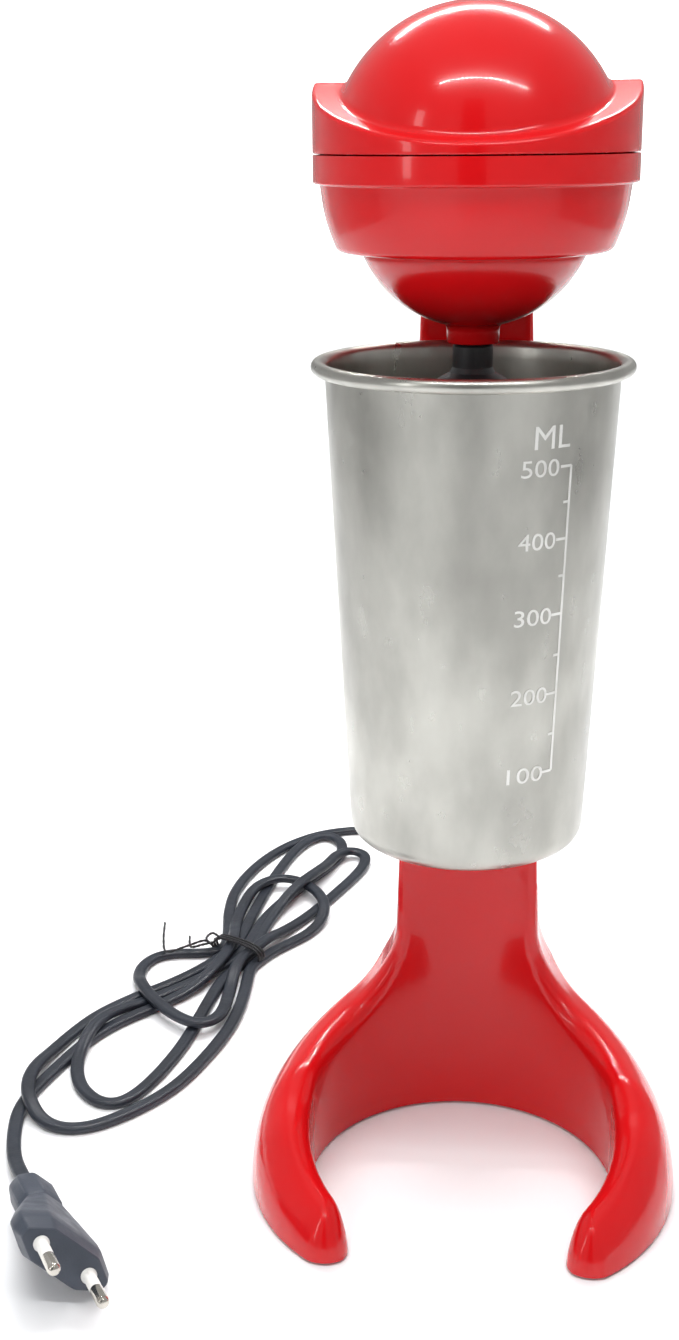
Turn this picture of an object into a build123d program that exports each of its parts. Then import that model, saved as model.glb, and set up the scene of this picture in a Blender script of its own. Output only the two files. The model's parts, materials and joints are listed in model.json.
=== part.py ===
"""Milkshake mixer: a ball-shaped motor head on a horseshoe stand, with a steel cup round its mixing rod.

Millimetres, +Z up. The origin is on the table under the middle of the mixer, cord left out.
The drink axis, which the head, rod and cup share, stands at y = drink_y.
"""

from build123d import *
import os
from math import cos, radians, sin, sqrt, tan

os.makedirs("parts", exist_ok=True)

# ---------------------------------------------------------------- driving dimensions
drink_y = -13.0
wall = 2.2
gap = 0.3

# stand
stand_half_width = 69.5
stand_ring_r = 69.5
stand_ring_y = 7.1
bay_r = 49.4
bay_top_z = 296.0
arm_end_angle = 134.0
arm_end_r = 7.5
shell_bottom_z = 1.0
shoulder_z = 28.0
flare_x = 24.9
flare_z = 52.0
column_top_x = 14.6
column_top_z = 331.0
stand_back_y = 73.0
column_back_y = 66.0
parting_y = 58.0
toe_z = 15.5
floor_plate_t = 2.0
foot_r = 4.6
foot_angles = (24.0, 118.0)
foot_ring_r = 58.5

# cup
cup_bottom_z = 127.4
cup_bottom_r = 35.0
cup_top_r = 42.0
cup_corner_r = 6.0
cup_wall = 0.6
bead_z = 269.3
bead_r = 43.86
bead_tube_r = 2.0

# head
seam_z = 326.9
seam_gap = 0.15
band_r = 44.6
band_bottom_z = 319.0
bowl_top_r = 42.7
bowl_mid_r = 41.4
bowl_mid_z = 309.5
bowl_bottom_r = 38.0
ledge_z = 300.2
ledge_inner_r = 30.8
ledge_inner_z = 299.3
cap_r = 34.0
cap_z = 313.8
collar_r = 7.4
collar_z = 275.6
dome_r = 40.1
dome_z = 326.0
crown_front_z = 329.5
crown_ridge_y = 2.0
crown_ridge_z = 345.4
crown_back_z = 330.5

# spindle
shaft_r = 1.6
coupling_r = 5.7
flange_r = 10.0
flange_z = 264.3
flange_t = 2.2
rod_r = 2.5
rod_bottom_z = 150.0
agitator_r = 13.0
agitator_z = 152.0

# motor
can_r = 18.5
can_t = 1.0
can_bottom_z = 296.0
can_top_z = 340.0
magnet_t = 3.2
core_r = 13.4
core_bottom_z = 306.0
core_top_z = 328.0
pole_count = 5
commutator_r = 3.6

# switch
switch_z = 283.0
switch_w = 13.0
switch_h = 19.0
rocker_w = 9.0
rocker_h = 14.4

# cord
cord_tube_r = 2.0
relief_z = 10.0
relief_length = 24.0

# ---------------------------------------------------------------- planes and axes
drink_axis = Axis((0, drink_y, 0), (0, 0, 1))
front_plane = Plane((0, drink_y, 0), x_dir=(1, 0, 0), z_dir=(0, -1, 0))
side_plane = Plane((0, drink_y, 0), x_dir=(0, 1, 0), z_dir=(1, 0, 0))


def level(z):
    """Horizontal plane at height z with its origin on the drink axis."""
    return Plane((0, drink_y, z))


def save(node, label):
    """Labels a finished piece and writes its STEP file."""
    node.part.label = label
    export_step(node.part, f"parts/{label}.step")


# ---------------------------------------------------------------- stand form
def stand_form(inset, bottom_z):
    """Solid outer form of the stand, drawn in by inset on every side."""
    tip_mid_r = bay_r + arm_end_r
    tip_x = tip_mid_r * sin(radians(arm_end_angle))
    tip_y = tip_mid_r * cos(radians(arm_end_angle))
    far = 150.0
    with BuildPart() as form:
        with BuildSketch(level(bottom_z)):
            with Locations((0, stand_ring_y)):
                Circle(stand_ring_r - inset)
            Circle(bay_r + inset, mode=Mode.SUBTRACT)
            with BuildLine():
                Polyline((0, 0), (far * tip_x / tip_mid_r, far * tip_y / tip_mid_r),
                         (-far * tip_x / tip_mid_r, far * tip_y / tip_mid_r), close=True)
            make_face(mode=Mode.SUBTRACT)
            with Locations((tip_x, tip_y), (-tip_x, tip_y)):
                Circle(arm_end_r - inset)
        extrude(amount=bay_top_z - bottom_z)
        with BuildSketch(level(bay_top_z - 0.01)):
            with Locations((0, stand_ring_y)):
                Circle(stand_ring_r - inset)
        extrude(amount=60)
        with BuildSketch(front_plane):
            with BuildLine():
                right = FilletPolyline(
                    (stand_half_width - inset, bottom_z - 1),
                    (stand_half_width - inset, shoulder_z - inset),
                    (flare_x - inset, flare_z - inset),
                    (column_top_x - inset, column_top_z + 30),
                    radius=[30.0, 32.0],
                )
                mirror(right, about=Plane.YZ)
                Line((-stand_half_width + inset, bottom_z - 1), (stand_half_width - inset, bottom_z - 1))
                Line((-column_top_x + inset, column_top_z + 30), (column_top_x - inset, column_top_z + 30))
            make_face()
        extrude(amount=100, both=True, mode=Mode.INTERSECT)
        with BuildSketch(side_plane):
            with BuildLine():
                over = FilletPolyline(
                    (-80, toe_z - 4 - inset),
                    (-36, toe_z - inset),
                    (8, 38.5 - inset),
                    (34 + inset, 100),
                    (34 + inset, column_top_z - inset),
                    (column_back_y - inset, column_top_z - inset),
                    (column_back_y - inset, 200),
                    (stand_back_y - inset, 60),
                    (stand_back_y - inset, bottom_z - 1),
                    radius=[60, 30, 40, 1.5, 24, 150, 150],
                )
                Polyline(over @ 0, (-80, bottom_z - 1), over @ 1)
            make_face()
        extrude(amount=100, both=True, mode=Mode.INTERSECT)
    return form.part


outer_form = stand_form(0, shell_bottom_z)
inner_form = stand_form(wall, shell_bottom_z - 5)
parting = Plane((0, drink_y + parting_y, 0), x_dir=(1, 0, 0), z_dir=(0, -1, 0))

# places of the fasteners, as (x, z) on the back and (x, y) under the base
back_screw_places = [(-11.0, 30.0), (11.0, 30.0), (0.0, 110.0), (0.0, 200.0)]
base_screw_angles = (52.0, 95.0)


def ring_points(angles, radius):
    """Points on both sides of the stand's ring, at angles measured from the back."""
    right = [(radius * sin(radians(a)), drink_y + radius * cos(radians(a))) for a in angles]
    return right + [(-x, y) for x, y in right]


foot_places = ring_points(foot_angles, foot_ring_r)
base_screw_places = ring_points(base_screw_angles, foot_ring_r)


def head_form(inset, top_z):
    """Solid of revolution inside the lower head's outline, drawn in by inset."""
    cap = cap_r - inset
    ledge_x = ledge_inner_r - inset
    with BuildPart() as form:
        with BuildSketch(front_plane):
            with BuildLine():
                ThreePointArc(
                    (0, cap_z - cap),
                    (cap * sin(radians(35)), cap_z - cap * cos(radians(35))),
                    (ledge_x, cap_z - sqrt(cap**2 - ledge_x**2)),
                )
                Polyline(
                    (ledge_x, cap_z - sqrt(cap**2 - ledge_x**2)),
                    (ledge_x, ledge_inner_z + inset + 1.0),
                    (bowl_bottom_r - inset, ledge_z + inset + 1.0),
                )
                ThreePointArc(
                    (bowl_bottom_r - inset, ledge_z + inset + 1.0),
                    (bowl_mid_r - inset, bowl_mid_z + inset / 2),
                    (bowl_top_r - inset, band_bottom_z + inset),
                )
                Polyline(
                    (bowl_top_r - inset, band_bottom_z + inset),
                    (band_r - inset, band_bottom_z + inset),
                    (band_r - inset, top_z),
                    (0, top_z),
                    (0, cap_z - cap),
                )
            make_face()
        revolve(axis=drink_axis)
    return form.part


def crown_form(inset):
    """Band and dome above the seam, drawn in by inset: a cylinder under a ridged roof, joined to a ball."""
    with BuildPart() as form:
        with BuildSketch(level(seam_z)):
            Circle(band_r - inset)
        extrude(amount=40)
        with BuildSketch(side_plane):
            with BuildLine():
                roof = FilletPolyline(
                    (-60, crown_front_z - 4.9 - inset),
                    (crown_ridge_y, crown_ridge_z - inset),
                    (60, crown_back_z - 5.2 - inset),
                    radius=30,
                )
                Polyline(roof @ 0, (-60, seam_z - 20), (60, seam_z - 20), roof @ 1)
            make_face()
        extrude(amount=60, both=True, mode=Mode.INTERSECT)
        with BuildSketch(front_plane):
            with BuildLine():
                base_x = sqrt((dome_r - inset) ** 2 - (seam_z - dome_z) ** 2)
                ThreePointArc(
                    (base_x, seam_z),
                    ((dome_r - inset) * cos(radians(40)), dome_z + (dome_r - inset) * sin(radians(40))),
                    (0, dome_z + dome_r - inset),
                )
                Polyline((0, dome_z + dome_r - inset), (0, seam_z), (base_x, seam_z))
            make_face()
        revolve(axis=drink_axis)
    return form.part


head_outer = head_form(0, seam_z - seam_gap)
head_inner = head_form(wall, seam_z + 5)
head_hug = head_form(-wall, seam_z + 30)
head_clear = head_form(0, seam_z + 30)
crown_outer = crown_form(0)
crown_inner = crown_form(wall)


def back_plane(y):
    """Upright plane at distance y behind the drink axis, facing the front; its x and y are x and z."""
    return Plane((0, drink_y + y, 0), x_dir=(1, 0, 0), z_dir=(0, -1, 0))


def turned(outline):
    """Solid of revolution about the drink axis of a closed outline of (radius, z) points."""
    with BuildPart() as form:
        with BuildSketch(front_plane):
            with BuildLine():
                Polyline(*outline, close=True)
            make_face()
        revolve(axis=drink_axis)
    return form.part


def tube_along(points, radii, tube_r):
    """Round tube along straight runs joined by tangent arcs."""
    with BuildPart() as form:
        with BuildLine():
            route = FilletPolyline(*points, radius=radii)
        with BuildSketch(Plane(origin=route @ 0, z_dir=route % 0)):
            Circle(tube_r)
        sweep(path=route)
    return form.part


def bend_radii(points, share=0.45):
    """Largest arc for each corner: share of the shorter run over the tangent of half the turn."""
    corners = [Vector(*p) for p in points]
    radii = []
    for before, here, after in zip(corners, corners[1:], corners[2:]):
        arriving = here - before
        leaving = after - here
        turn = radians(arriving.get_angle(leaving))
        radii.append(share * min(arriving.length, leaving.length) / tan(turn / 2))
    return radii


# ---------------------------------------------------------------- fasteners
screw_r = 1.45
screw_hole_r = 1.5
screw_clear_r = 1.7
screw_head_r = 2.9
screw_head_t = 1.6
boss_r = 4.0


def screw(length):
    """Pan-head screw pointing down local -z from its head's underside at the local origin."""
    with BuildPart() as form:
        with BuildSketch():
            Circle(screw_head_r)
        extrude(amount=screw_head_t)
        fillet(form.edges().group_by(Axis.Z)[-1], 0.8)
        with BuildSketch(Plane.XY.offset(screw_head_t)):
            Rectangle(3.2, 0.7)
            Rectangle(0.7, 3.2)
        extrude(amount=-1.0, mode=Mode.SUBTRACT)
        with BuildSketch():
            Circle(screw_r)
        extrude(amount=-length)
        chamfer(form.edges().group_by(Axis.Z)[0], 0.5)
    return form.part


def screws_at(planes, length):
    """One screw on each plane, its head on the plane's positive side."""
    return Compound(children=[plane.location * screw(length) for plane in planes])


def save_solids(compound, label):
    """Writes a group of identical separate solids as one node."""
    compound.label = label
    export_step(compound, f"parts/{label}.step")


# ---------------------------------------------------------------- stand
back_boss_seat_y = 61.0
clip_slot_w = 19.0
clip_slot_z = 259.5
clip_slot_h = 9.6
clip_screw_z = 226.0
clamp_z = 46.0
clamp_x = 7.0
clamp_y = 61.8
neck_screw_x = 7.0
neck_screw_z = 311.5
neck_seat_y = 42.9
wire_hole_z = 316.0
wire_hole_r = 3.2

with BuildPart() as base_posts:
    with BuildSketch(Plane.XY.offset(shell_bottom_z + floor_plate_t)):
        with Locations(*base_screw_places):
            Circle(boss_r)
    extrude(amount=45.0)
    add(outer_form, mode=Mode.INTERSECT)

with BuildPart() as neck_wall:
    add(head_hug)
    add(outer_form, mode=Mode.INTERSECT)

with BuildPart() as stand_shell:
    add(outer_form)
    add(inner_form, mode=Mode.SUBTRACT)
    add(neck_wall.part)
    split(bisect_by=parting, keep=Keep.TOP)
    add(base_posts.part)
    with BuildSketch(Plane.XY.offset(shell_bottom_z + floor_plate_t)):
        with Locations(*base_screw_places):
            Circle(screw_hole_r)
    extrude(amount=12.0, mode=Mode.SUBTRACT)
    with BuildSketch(back_plane(parting_y)):
        with Locations(*back_screw_places, (0, clip_screw_z)):
            Circle(boss_r)
    extrude(amount=8.0)
    with BuildSketch(back_plane(parting_y)):
        with Locations(*back_screw_places):
            Circle(screw_hole_r)
    extrude(amount=7.0, mode=Mode.SUBTRACT)
    # the clip's screw boss stops short, to seat the leaf
    with BuildSketch(back_plane(parting_y)):
        with Locations((0, clip_screw_z)):
            Circle(boss_r)
    extrude(amount=5.2, mode=Mode.SUBTRACT)
    with BuildSketch(back_plane(parting_y)):
        with Locations((0, clip_screw_z)):
            Circle(1.0)
    extrude(amount=7.4, mode=Mode.SUBTRACT)
    # posts of the cord clamp
    with BuildSketch(back_plane(clamp_y)):
        with Locations((-clamp_x, clamp_z), (clamp_x, clamp_z)):
            Circle(3.0)
    extrude(amount=11.8)
    with BuildSketch(back_plane(clamp_y)):
        with Locations((-clamp_x, clamp_z), (clamp_x, clamp_z)):
            Circle(screw_hole_r)
    extrude(amount=9.0, mode=Mode.SUBTRACT)
    # slot for the clip's nose
    with BuildSketch(back_plane(parting_y)):
        with Locations((0, clip_slot_z)):
            Rectangle(clip_slot_w, clip_slot_h)
    extrude(amount=14.0, mode=Mode.SUBTRACT)
    add(head_clear, mode=Mode.SUBTRACT)
    # holes in the neck for its screws and the motor's wires
    with BuildSketch(back_plane(parting_y)):
        with Locations((-neck_screw_x, neck_screw_z), (neck_screw_x, neck_screw_z)):
            Circle(screw_clear_r)
        with Locations((0, wire_hole_z)):
            Circle(wire_hole_r)
    extrude(amount=24.0, mode=Mode.SUBTRACT)
    with BuildSketch(back_plane(parting_y)):
        with Locations((-neck_screw_x, neck_screw_z), (neck_screw_x, neck_screw_z)):
            Circle(screw_head_r + gap)
    extrude(amount=parting_y - neck_seat_y, mode=Mode.SUBTRACT)
save(stand_shell, "stand_shell")

with BuildPart() as cover_bosses:
    with BuildSketch(back_plane(parting_y)):
        with Locations(*back_screw_places):
            Circle(boss_r)
    extrude(amount=-20.0)
    add(outer_form, mode=Mode.INTERSECT)

with BuildPart() as stand_back_cover:
    add(outer_form)
    add(inner_form, mode=Mode.SUBTRACT)
    split(bisect_by=parting, keep=Keep.BOTTOM)
    add(cover_bosses.part)
    with BuildSketch(back_plane(parting_y)):
        with Locations(*back_screw_places):
            Circle(screw_clear_r)
    extrude(amount=-20.0, mode=Mode.SUBTRACT)
    with BuildSketch(back_plane(back_boss_seat_y)):
        with Locations(*back_screw_places):
            Circle(screw_head_r + gap)
    extrude(amount=-20.0, mode=Mode.SUBTRACT)
    with BuildSketch(back_plane(parting_y)):
        with Locations((0, switch_z)):
            Rectangle(switch_w, switch_h)
    extrude(amount=-20.0, mode=Mode.SUBTRACT)
    with BuildSketch(back_plane(parting_y)):
        with Locations((0, relief_z)):
            Circle(4.6)
    extrude(amount=-20.0, mode=Mode.SUBTRACT)
save(stand_back_cover, "stand_back_cover")

with BuildPart() as base_plate:
    add(stand_form(wall + gap / 2, shell_bottom_z))
    split(bisect_by=Plane.XY.offset(shell_bottom_z + floor_plate_t), keep=Keep.BOTTOM)
    with BuildSketch(Plane.XY.offset(shell_bottom_z)):
        with Locations(*foot_places):
            Circle(3.1)
        with Locations(*base_screw_places):
            Circle(screw_clear_r)
    extrude(amount=floor_plate_t, mode=Mode.SUBTRACT)
    with BuildSketch(Plane.XY.offset(shell_bottom_z)):
        with Locations(*base_screw_places):
            Circle(screw_head_r + 0.2)
    extrude(amount=1.2, mode=Mode.SUBTRACT)
save(base_plate, "base_plate")

with BuildPart() as rubber_feet:
    with BuildSketch():
        with Locations(*foot_places):
            Circle(foot_r)
    extrude(amount=shell_bottom_z)
    fillet(rubber_feet.edges().group_by(Axis.Z)[0], 0.4)
    with BuildSketch(Plane.XY.offset(shell_bottom_z)):
        with Locations(*foot_places):
            Circle(3.0)
    extrude(amount=floor_plate_t + 0.6)
save(rubber_feet, "rubber_feet")

base_screw_planes = [Plane((x, y, shell_bottom_z + 1.2), x_dir=(1, 0, 0), z_dir=(0, 0, -1))
                     for x, y in base_screw_places]
save_solids(screws_at(base_screw_planes, 9.0), "base_screws")

back_screw_planes = [Plane((x, drink_y + back_boss_seat_y, z), x_dir=(1, 0, 0), z_dir=(0, 1, 0))
                     for x, z in back_screw_places]
save_solids(screws_at(back_screw_planes, 9.0), "back_cover_screws")

# sprung steel clip in the column; its nose carries the cup's rim bead
clip_t = 0.8
clip_front_y = 52.8
clip_nose_y = 43.0
with BuildPart() as cup_clip:
    with BuildSketch(side_plane):
        with BuildLine():
            FilletPolyline(
                (clip_front_y + clip_t / 2, clip_screw_z - 6),
                (clip_front_y + clip_t / 2, clip_slot_z - 3.6),
                (clip_nose_y, bead_z - bead_tube_r - 0.5 - clip_t / 2),
                radius=2.0,
            )
            offset(amount=clip_t / 2, side=Side.BOTH)
        make_face()
    extrude(amount=8.5, both=True)
    with BuildSketch(back_plane(clip_front_y - 1)):
        with Locations((0, clip_screw_z)):
            Circle(screw_clear_r)
    extrude(amount=-4, mode=Mode.SUBTRACT)
save(cup_clip, "cup_clip")
clip_screw_place = (0, drink_y + clip_front_y + clip_t, clip_screw_z)
clip_screw_plane = Plane(clip_screw_place, x_dir=(1, 0, 0), z_dir=(0, 1, 0))
with BuildPart() as clip_screw:
    with BuildSketch(clip_screw_plane):
        Circle(2.2)
    extrude(amount=1.4)
    with BuildSketch(clip_screw_plane):
        Circle(0.95)
    extrude(amount=-2.2)
save(clip_screw, "clip_screw")

# ---------------------------------------------------------------- head shells
motor_seat_z = 291.5
motor_seat_r = 21.2
strap_z = 344.6
strap_x = 24.5
head_screw_r = 34.2
head_screw_angles = (38.0, 100.0)
head_screw_places = ring_points(head_screw_angles, head_screw_r)
motor_post_places = [(-strap_x, drink_y), (strap_x, drink_y)]

with BuildPart() as lower_ribs:
    # motor seat, posts for the motor strap and for the screws that hold the head together
    with BuildSketch(level(cap_z - cap_r)):
        Circle(motor_seat_r)
        Circle(motor_seat_r - 2.0, mode=Mode.SUBTRACT)
    extrude(amount=305.0 - cap_z + cap_r)
    with BuildSketch(level(motor_seat_z)):
        Circle(motor_seat_r)
        Circle(6.5, mode=Mode.SUBTRACT)
    extrude(amount=2.0)
    with BuildSketch(Plane.XY.offset(cap_z - cap_r)):
        with Locations(*motor_post_places):
            Circle(3.4)
    extrude(amount=strap_z - cap_z + cap_r)
    with BuildSketch(Plane.XY.offset(ledge_z)):
        with Locations(*head_screw_places):
            Circle(boss_r)
    extrude(amount=seam_z - seam_gap - ledge_z)
    with BuildSketch(back_plane(42.5)):
        with Locations((-neck_screw_x, neck_screw_z), (neck_screw_x, neck_screw_z)):
            Circle(3.6)
    extrude(amount=11.5)
    add(head_outer, mode=Mode.INTERSECT)
    # spout round the shaft
    with BuildSketch(level(collar_z)):
        Circle(collar_r)
    extrude(amount=9.0)

with BuildPart() as head_lower_shell:
    add(head_outer)
    add(head_inner, mode=Mode.SUBTRACT)
    add(lower_ribs.part)
    with BuildSketch(level(collar_z)):
        Circle(3.2)
    extrude(amount=20, mode=Mode.SUBTRACT)
    with BuildSketch(level(collar_z + 3)):
        Circle(5.0)
    extrude(amount=20, mode=Mode.SUBTRACT)
    with BuildSketch(Plane.XY.offset(strap_z)):
        with Locations(*motor_post_places):
            Circle(screw_hole_r)
    extrude(amount=-12, mode=Mode.SUBTRACT)
    with BuildSketch(Plane.XY.offset(ledge_z - 5)):
        with Locations(*head_screw_places):
            Circle(screw_head_r + 0.2)
    extrude(amount=22, mode=Mode.SUBTRACT)
    with BuildSketch(Plane.XY.offset(ledge_z + 10)):
        with Locations(*head_screw_places):
            Circle(screw_clear_r)
    extrude(amount=22, mode=Mode.SUBTRACT)
    with BuildSketch(back_plane(48)):
        with Locations((-neck_screw_x, neck_screw_z), (neck_screw_x, neck_screw_z)):
            Circle(screw_hole_r)
    extrude(amount=16.0, mode=Mode.SUBTRACT)
    with BuildSketch(back_plane(48)):
        with Locations((0, wire_hole_z)):
            Circle(wire_hole_r)
    extrude(amount=16.0, mode=Mode.SUBTRACT)
save(head_lower_shell, "head_lower_shell")

with BuildPart() as upper_posts:
    with BuildSketch(Plane.XY.offset(seam_z)):
        with Locations(*head_screw_places):
            Circle(boss_r)
    extrude(amount=30)
    add(crown_outer, mode=Mode.INTERSECT)

with BuildPart() as head_upper_shell:
    add(crown_outer)
    add(crown_inner, mode=Mode.SUBTRACT)
    add(upper_posts.part)
    with BuildSketch(Plane.XY.offset(seam_z)):
        with Locations(*head_screw_places):
            Circle(screw_hole_r)
    extrude(amount=7, mode=Mode.SUBTRACT)
save(head_upper_shell, "head_upper_shell")

head_screw_planes = [
    Plane((x, y, ledge_z + 17), x_dir=(1, 0, 0), z_dir=(0, 0, -1)) for x, y in head_screw_places
]
save_solids(screws_at(head_screw_planes, 15.0), "head_screws")

neck_screw_planes = [Plane((x, drink_y + neck_seat_y, neck_screw_z), x_dir=(1, 0, 0), z_dir=(0, 1, 0))
                     for x in (-neck_screw_x, neck_screw_x)]
save_solids(screws_at(neck_screw_planes, 10.0), "neck_screws")

# ---------------------------------------------------------------- motor
with BuildPart() as motor_cushion:
    add(turned([
        (7.0, motor_seat_z + 2), (19.0, motor_seat_z + 2), (19.0, can_bottom_z), (7.0, can_bottom_z),
    ]))
save(motor_cushion, "motor_cushion")

bush_r = 3.6
bush_bore_r = shaft_r + 0.03
with BuildPart() as motor_can:
    add(turned([
        (can_r - can_t, can_top_z), (can_r, can_top_z), (can_r, can_bottom_z),
        (bush_r + can_t, can_bottom_z), (bush_r + can_t, can_bottom_z - 4), (2.4, can_bottom_z - 4),
        (2.4, can_bottom_z - 4 + can_t), (bush_r, can_bottom_z - 4 + can_t),
        (bush_r, can_bottom_z + can_t), (can_r - can_t, can_bottom_z + can_t),
    ]))
save(motor_can, "motor_can")

lower_bush_z = can_bottom_z - 4 + can_t
with BuildPart() as lower_bush:
    add(turned([(bush_bore_r, lower_bush_z), (bush_r, lower_bush_z), (bush_r, lower_bush_z + 5),
                (bush_bore_r, lower_bush_z + 5)]))
save(lower_bush, "lower_bush")

with BuildPart() as magnets:
    with BuildSketch(level(can_bottom_z + 5)):
        Circle(can_r - can_t)
        Circle(can_r - can_t - magnet_t, mode=Mode.SUBTRACT)
        Rectangle(12, 60, mode=Mode.SUBTRACT)
    extrude(amount=32)
save(magnets, "motor_magnets")

end_cap_t = 4.5
upper_bush_z = can_top_z + 0.5
with BuildPart() as motor_end_cap:
    with BuildSketch(level(can_top_z)):
        Circle(can_r)
        Circle(bush_r, mode=Mode.SUBTRACT)
    extrude(amount=end_cap_t)
    with BuildSketch(level(can_top_z)):
        Circle(can_r - can_t - 0.1)
        Circle(can_r - 3.4, mode=Mode.SUBTRACT)
    extrude(amount=-5)
    with BuildSketch(level(can_top_z)):
        with Locations((7.4, 0), (-7.4, 0)):
            Rectangle(6.4, 6.0)
    extrude(amount=-6.5)
    with BuildSketch(level(can_top_z - 1.5)):
        with Locations((7.2, 0), (-7.2, 0)):
            Rectangle(7.2, 3.2)
    extrude(amount=-3.6, mode=Mode.SUBTRACT)
save(motor_end_cap, "motor_end_cap")

with BuildPart() as upper_bush:
    add(turned([(bush_bore_r, upper_bush_z), (bush_r, upper_bush_z), (bush_r, upper_bush_z + 4),
                (bush_bore_r, upper_bush_z + 4)]))
save(upper_bush, "upper_bush")

with BuildPart() as brushes:
    with BuildSketch(level(can_top_z - 1.6)):
        with Locations((commutator_r + 0.1 + 2.5, 0), (-commutator_r - 0.1 - 2.5, 0)):
            Rectangle(5.0, 3.0)
    extrude(amount=-3.4)
save(brushes, "motor_brushes")

with BuildPart() as motor_shaft:
    with BuildSketch(level(flange_z + 4.2)):
        Circle(shaft_r)
    extrude(amount=350.0 - flange_z - 4.2)
save(motor_shaft, "motor_shaft")

with BuildPart() as armature_core:
    with BuildSketch(level(core_bottom_z)):
        Circle(core_r)
        Circle(shaft_r, mode=Mode.SUBTRACT)
        with PolarLocations(core_r - 3.6, pole_count):
            Circle(2.6, mode=Mode.SUBTRACT)
        with PolarLocations(core_r - 0.6, pole_count):
            Rectangle(5.0, 2.2, mode=Mode.SUBTRACT)
    extrude(amount=core_top_z - core_bottom_z)
save(armature_core, "armature_core")

with BuildPart() as windings:
    with BuildSketch(level(core_top_z)):
        Circle(core_r - 1.4)
        Circle(shaft_r + 1.4, mode=Mode.SUBTRACT)
    extrude(amount=3.6)
    fillet(windings.edges(), 1.2)
    add(mirror(windings.part, about=level((core_top_z + core_bottom_z) / 2), mode=Mode.PRIVATE))
    with BuildSketch(level(core_bottom_z - 0.5)):
        with PolarLocations(core_r - 3.6, pole_count):
            Circle(2.45)
    extrude(amount=core_top_z - core_bottom_z + 1.0)
save(windings, "armature_windings")

commutator_z = core_top_z + 4.4
with BuildPart() as commutator:
    with BuildSketch(level(commutator_z)):
        Circle(commutator_r)
        Circle(shaft_r, mode=Mode.SUBTRACT)
        with PolarLocations(commutator_r, pole_count):
            Rectangle(1.2, 0.35, mode=Mode.SUBTRACT)
    extrude(amount=can_top_z - 0.4 - commutator_z)
save(commutator, "commutator")

with BuildPart() as motor_strap:
    with BuildSketch(Plane.XY.offset(strap_z)):
        with Locations((0, drink_y)):
            SlotOverall(2 * strap_x + 8, 13)
            Circle(bush_r + 0.6, mode=Mode.SUBTRACT)
        with Locations(*motor_post_places):
            Circle(screw_clear_r, mode=Mode.SUBTRACT)
    extrude(amount=1.2)
save(motor_strap, "motor_strap")

motor_screw_planes = [Plane((x, y, strap_z + 1.2)) for x, y in motor_post_places]
save_solids(screws_at(motor_screw_planes, 10.0), "motor_screws")

# rectifier board over the motor, with four diodes and a suppression capacitor
board_z = 352.0
with BuildPart() as rectifier_board:
    with BuildSketch(level(board_z)):
        with Locations((0, 7)):
            Rectangle(30, 14)
    extrude(amount=1.2)
    with BuildSketch(level(strap_z + 1.2)):
        with Locations((-8, 9.5), (8, 9.5)):
            Circle(1.6)
    extrude(amount=board_z - strap_z - 1.2)
    fillet(rectifier_board.edges().filter_by(Axis.Z).group_by(Axis.X)[0], 0.5)
save(rectifier_board, "rectifier_board")

with BuildPart() as diodes:
    with BuildSketch(back_plane(7)):
        for x in (-11.5, -6.5, -1.5, 3.5):
            with Locations((x, board_z + 1.2 + 1.5)):
                Circle(1.5)
    extrude(amount=3.5, both=True)
save(diodes, "rectifier_diodes")

with BuildPart() as capacitor:
    with BuildSketch(level(board_z + 1.2)):
        with Locations((10.0, 7.0)):
            Rectangle(6.0, 9.0)
    extrude(amount=6.5)
    fillet(capacitor.edges().group_by(Axis.Z)[-1], 0.6)
save(capacitor, "suppression_capacitor")

with BuildPart() as shaft_seal:
    add(turned([
        (shaft_r + 0.05, collar_z + 3), (5.0, collar_z + 3), (5.0, collar_z + 6.5),
        (3.4, collar_z + 6.5), (3.4, collar_z + 4.2), (shaft_r + 0.05, collar_z + 4.2),
    ]))
save(shaft_seal, "shaft_seal")

# ---------------------------------------------------------------- spindle below the head
socket_top_z = collar_z - gap
with BuildPart() as coupling:
    add(turned([
        (0, flange_z), (flange_r, flange_z), (flange_r, flange_z + 1.0), (flange_r - 0.6, flange_z + 1.5),
        (coupling_r + 0.8, flange_z + flange_t + 0.9), (coupling_r, flange_z + flange_t + 2.4),
        (coupling_r, socket_top_z - 0.6), (coupling_r - 0.6, socket_top_z), (0, socket_top_z),
    ]))
    with BuildSketch(level(socket_top_z)):
        Circle(shaft_r)
    extrude(amount=-(socket_top_z - flange_z - 4.2), mode=Mode.SUBTRACT)
    with BuildSketch(level(flange_z)):
        Circle(rod_r)
    extrude(amount=3.5, mode=Mode.SUBTRACT)
save(coupling, "rod_coupling")

with BuildPart() as rod:
    with BuildSketch(level(rod_bottom_z)):
        Circle(rod_r)
    extrude(amount=flange_z + 3.5 - rod_bottom_z)
    chamfer(rod.edges().group_by(Axis.Z)[0], 0.6)
save(rod, "mixing_rod")

wing_count = 6
wing_tilt = 22.0
with BuildPart() as agitator:
    with BuildSketch(level(agitator_z - 1.5)):
        Circle(4.6)
    extrude(amount=5.0)
    for i in range(wing_count):
        angle = i * 360 / wing_count
        outward = Vector(cos(radians(angle)), sin(radians(angle)), 0)
        across = Vector(-sin(radians(angle)), cos(radians(angle)), 0)
        tilt = radians(wing_tilt if i % 2 else -wing_tilt)
        lie = across * cos(tilt) + Vector(0, 0, sin(tilt))
        wing_middle = Vector(0, drink_y, agitator_z + 1.0)
        with BuildSketch(Plane(wing_middle, x_dir=outward, z_dir=outward.cross(lie))):
            with Locations((agitator_r / 2 + 1.5, 0)):
                RectangleRounded(agitator_r - 3.2, 8.6, 2.5)
        extrude(amount=0.55, both=True)
    with BuildSketch(level(agitator_z - 3)):
        Circle(rod_r)
    extrude(amount=10, mode=Mode.SUBTRACT)
save(agitator, "agitator")

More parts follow.
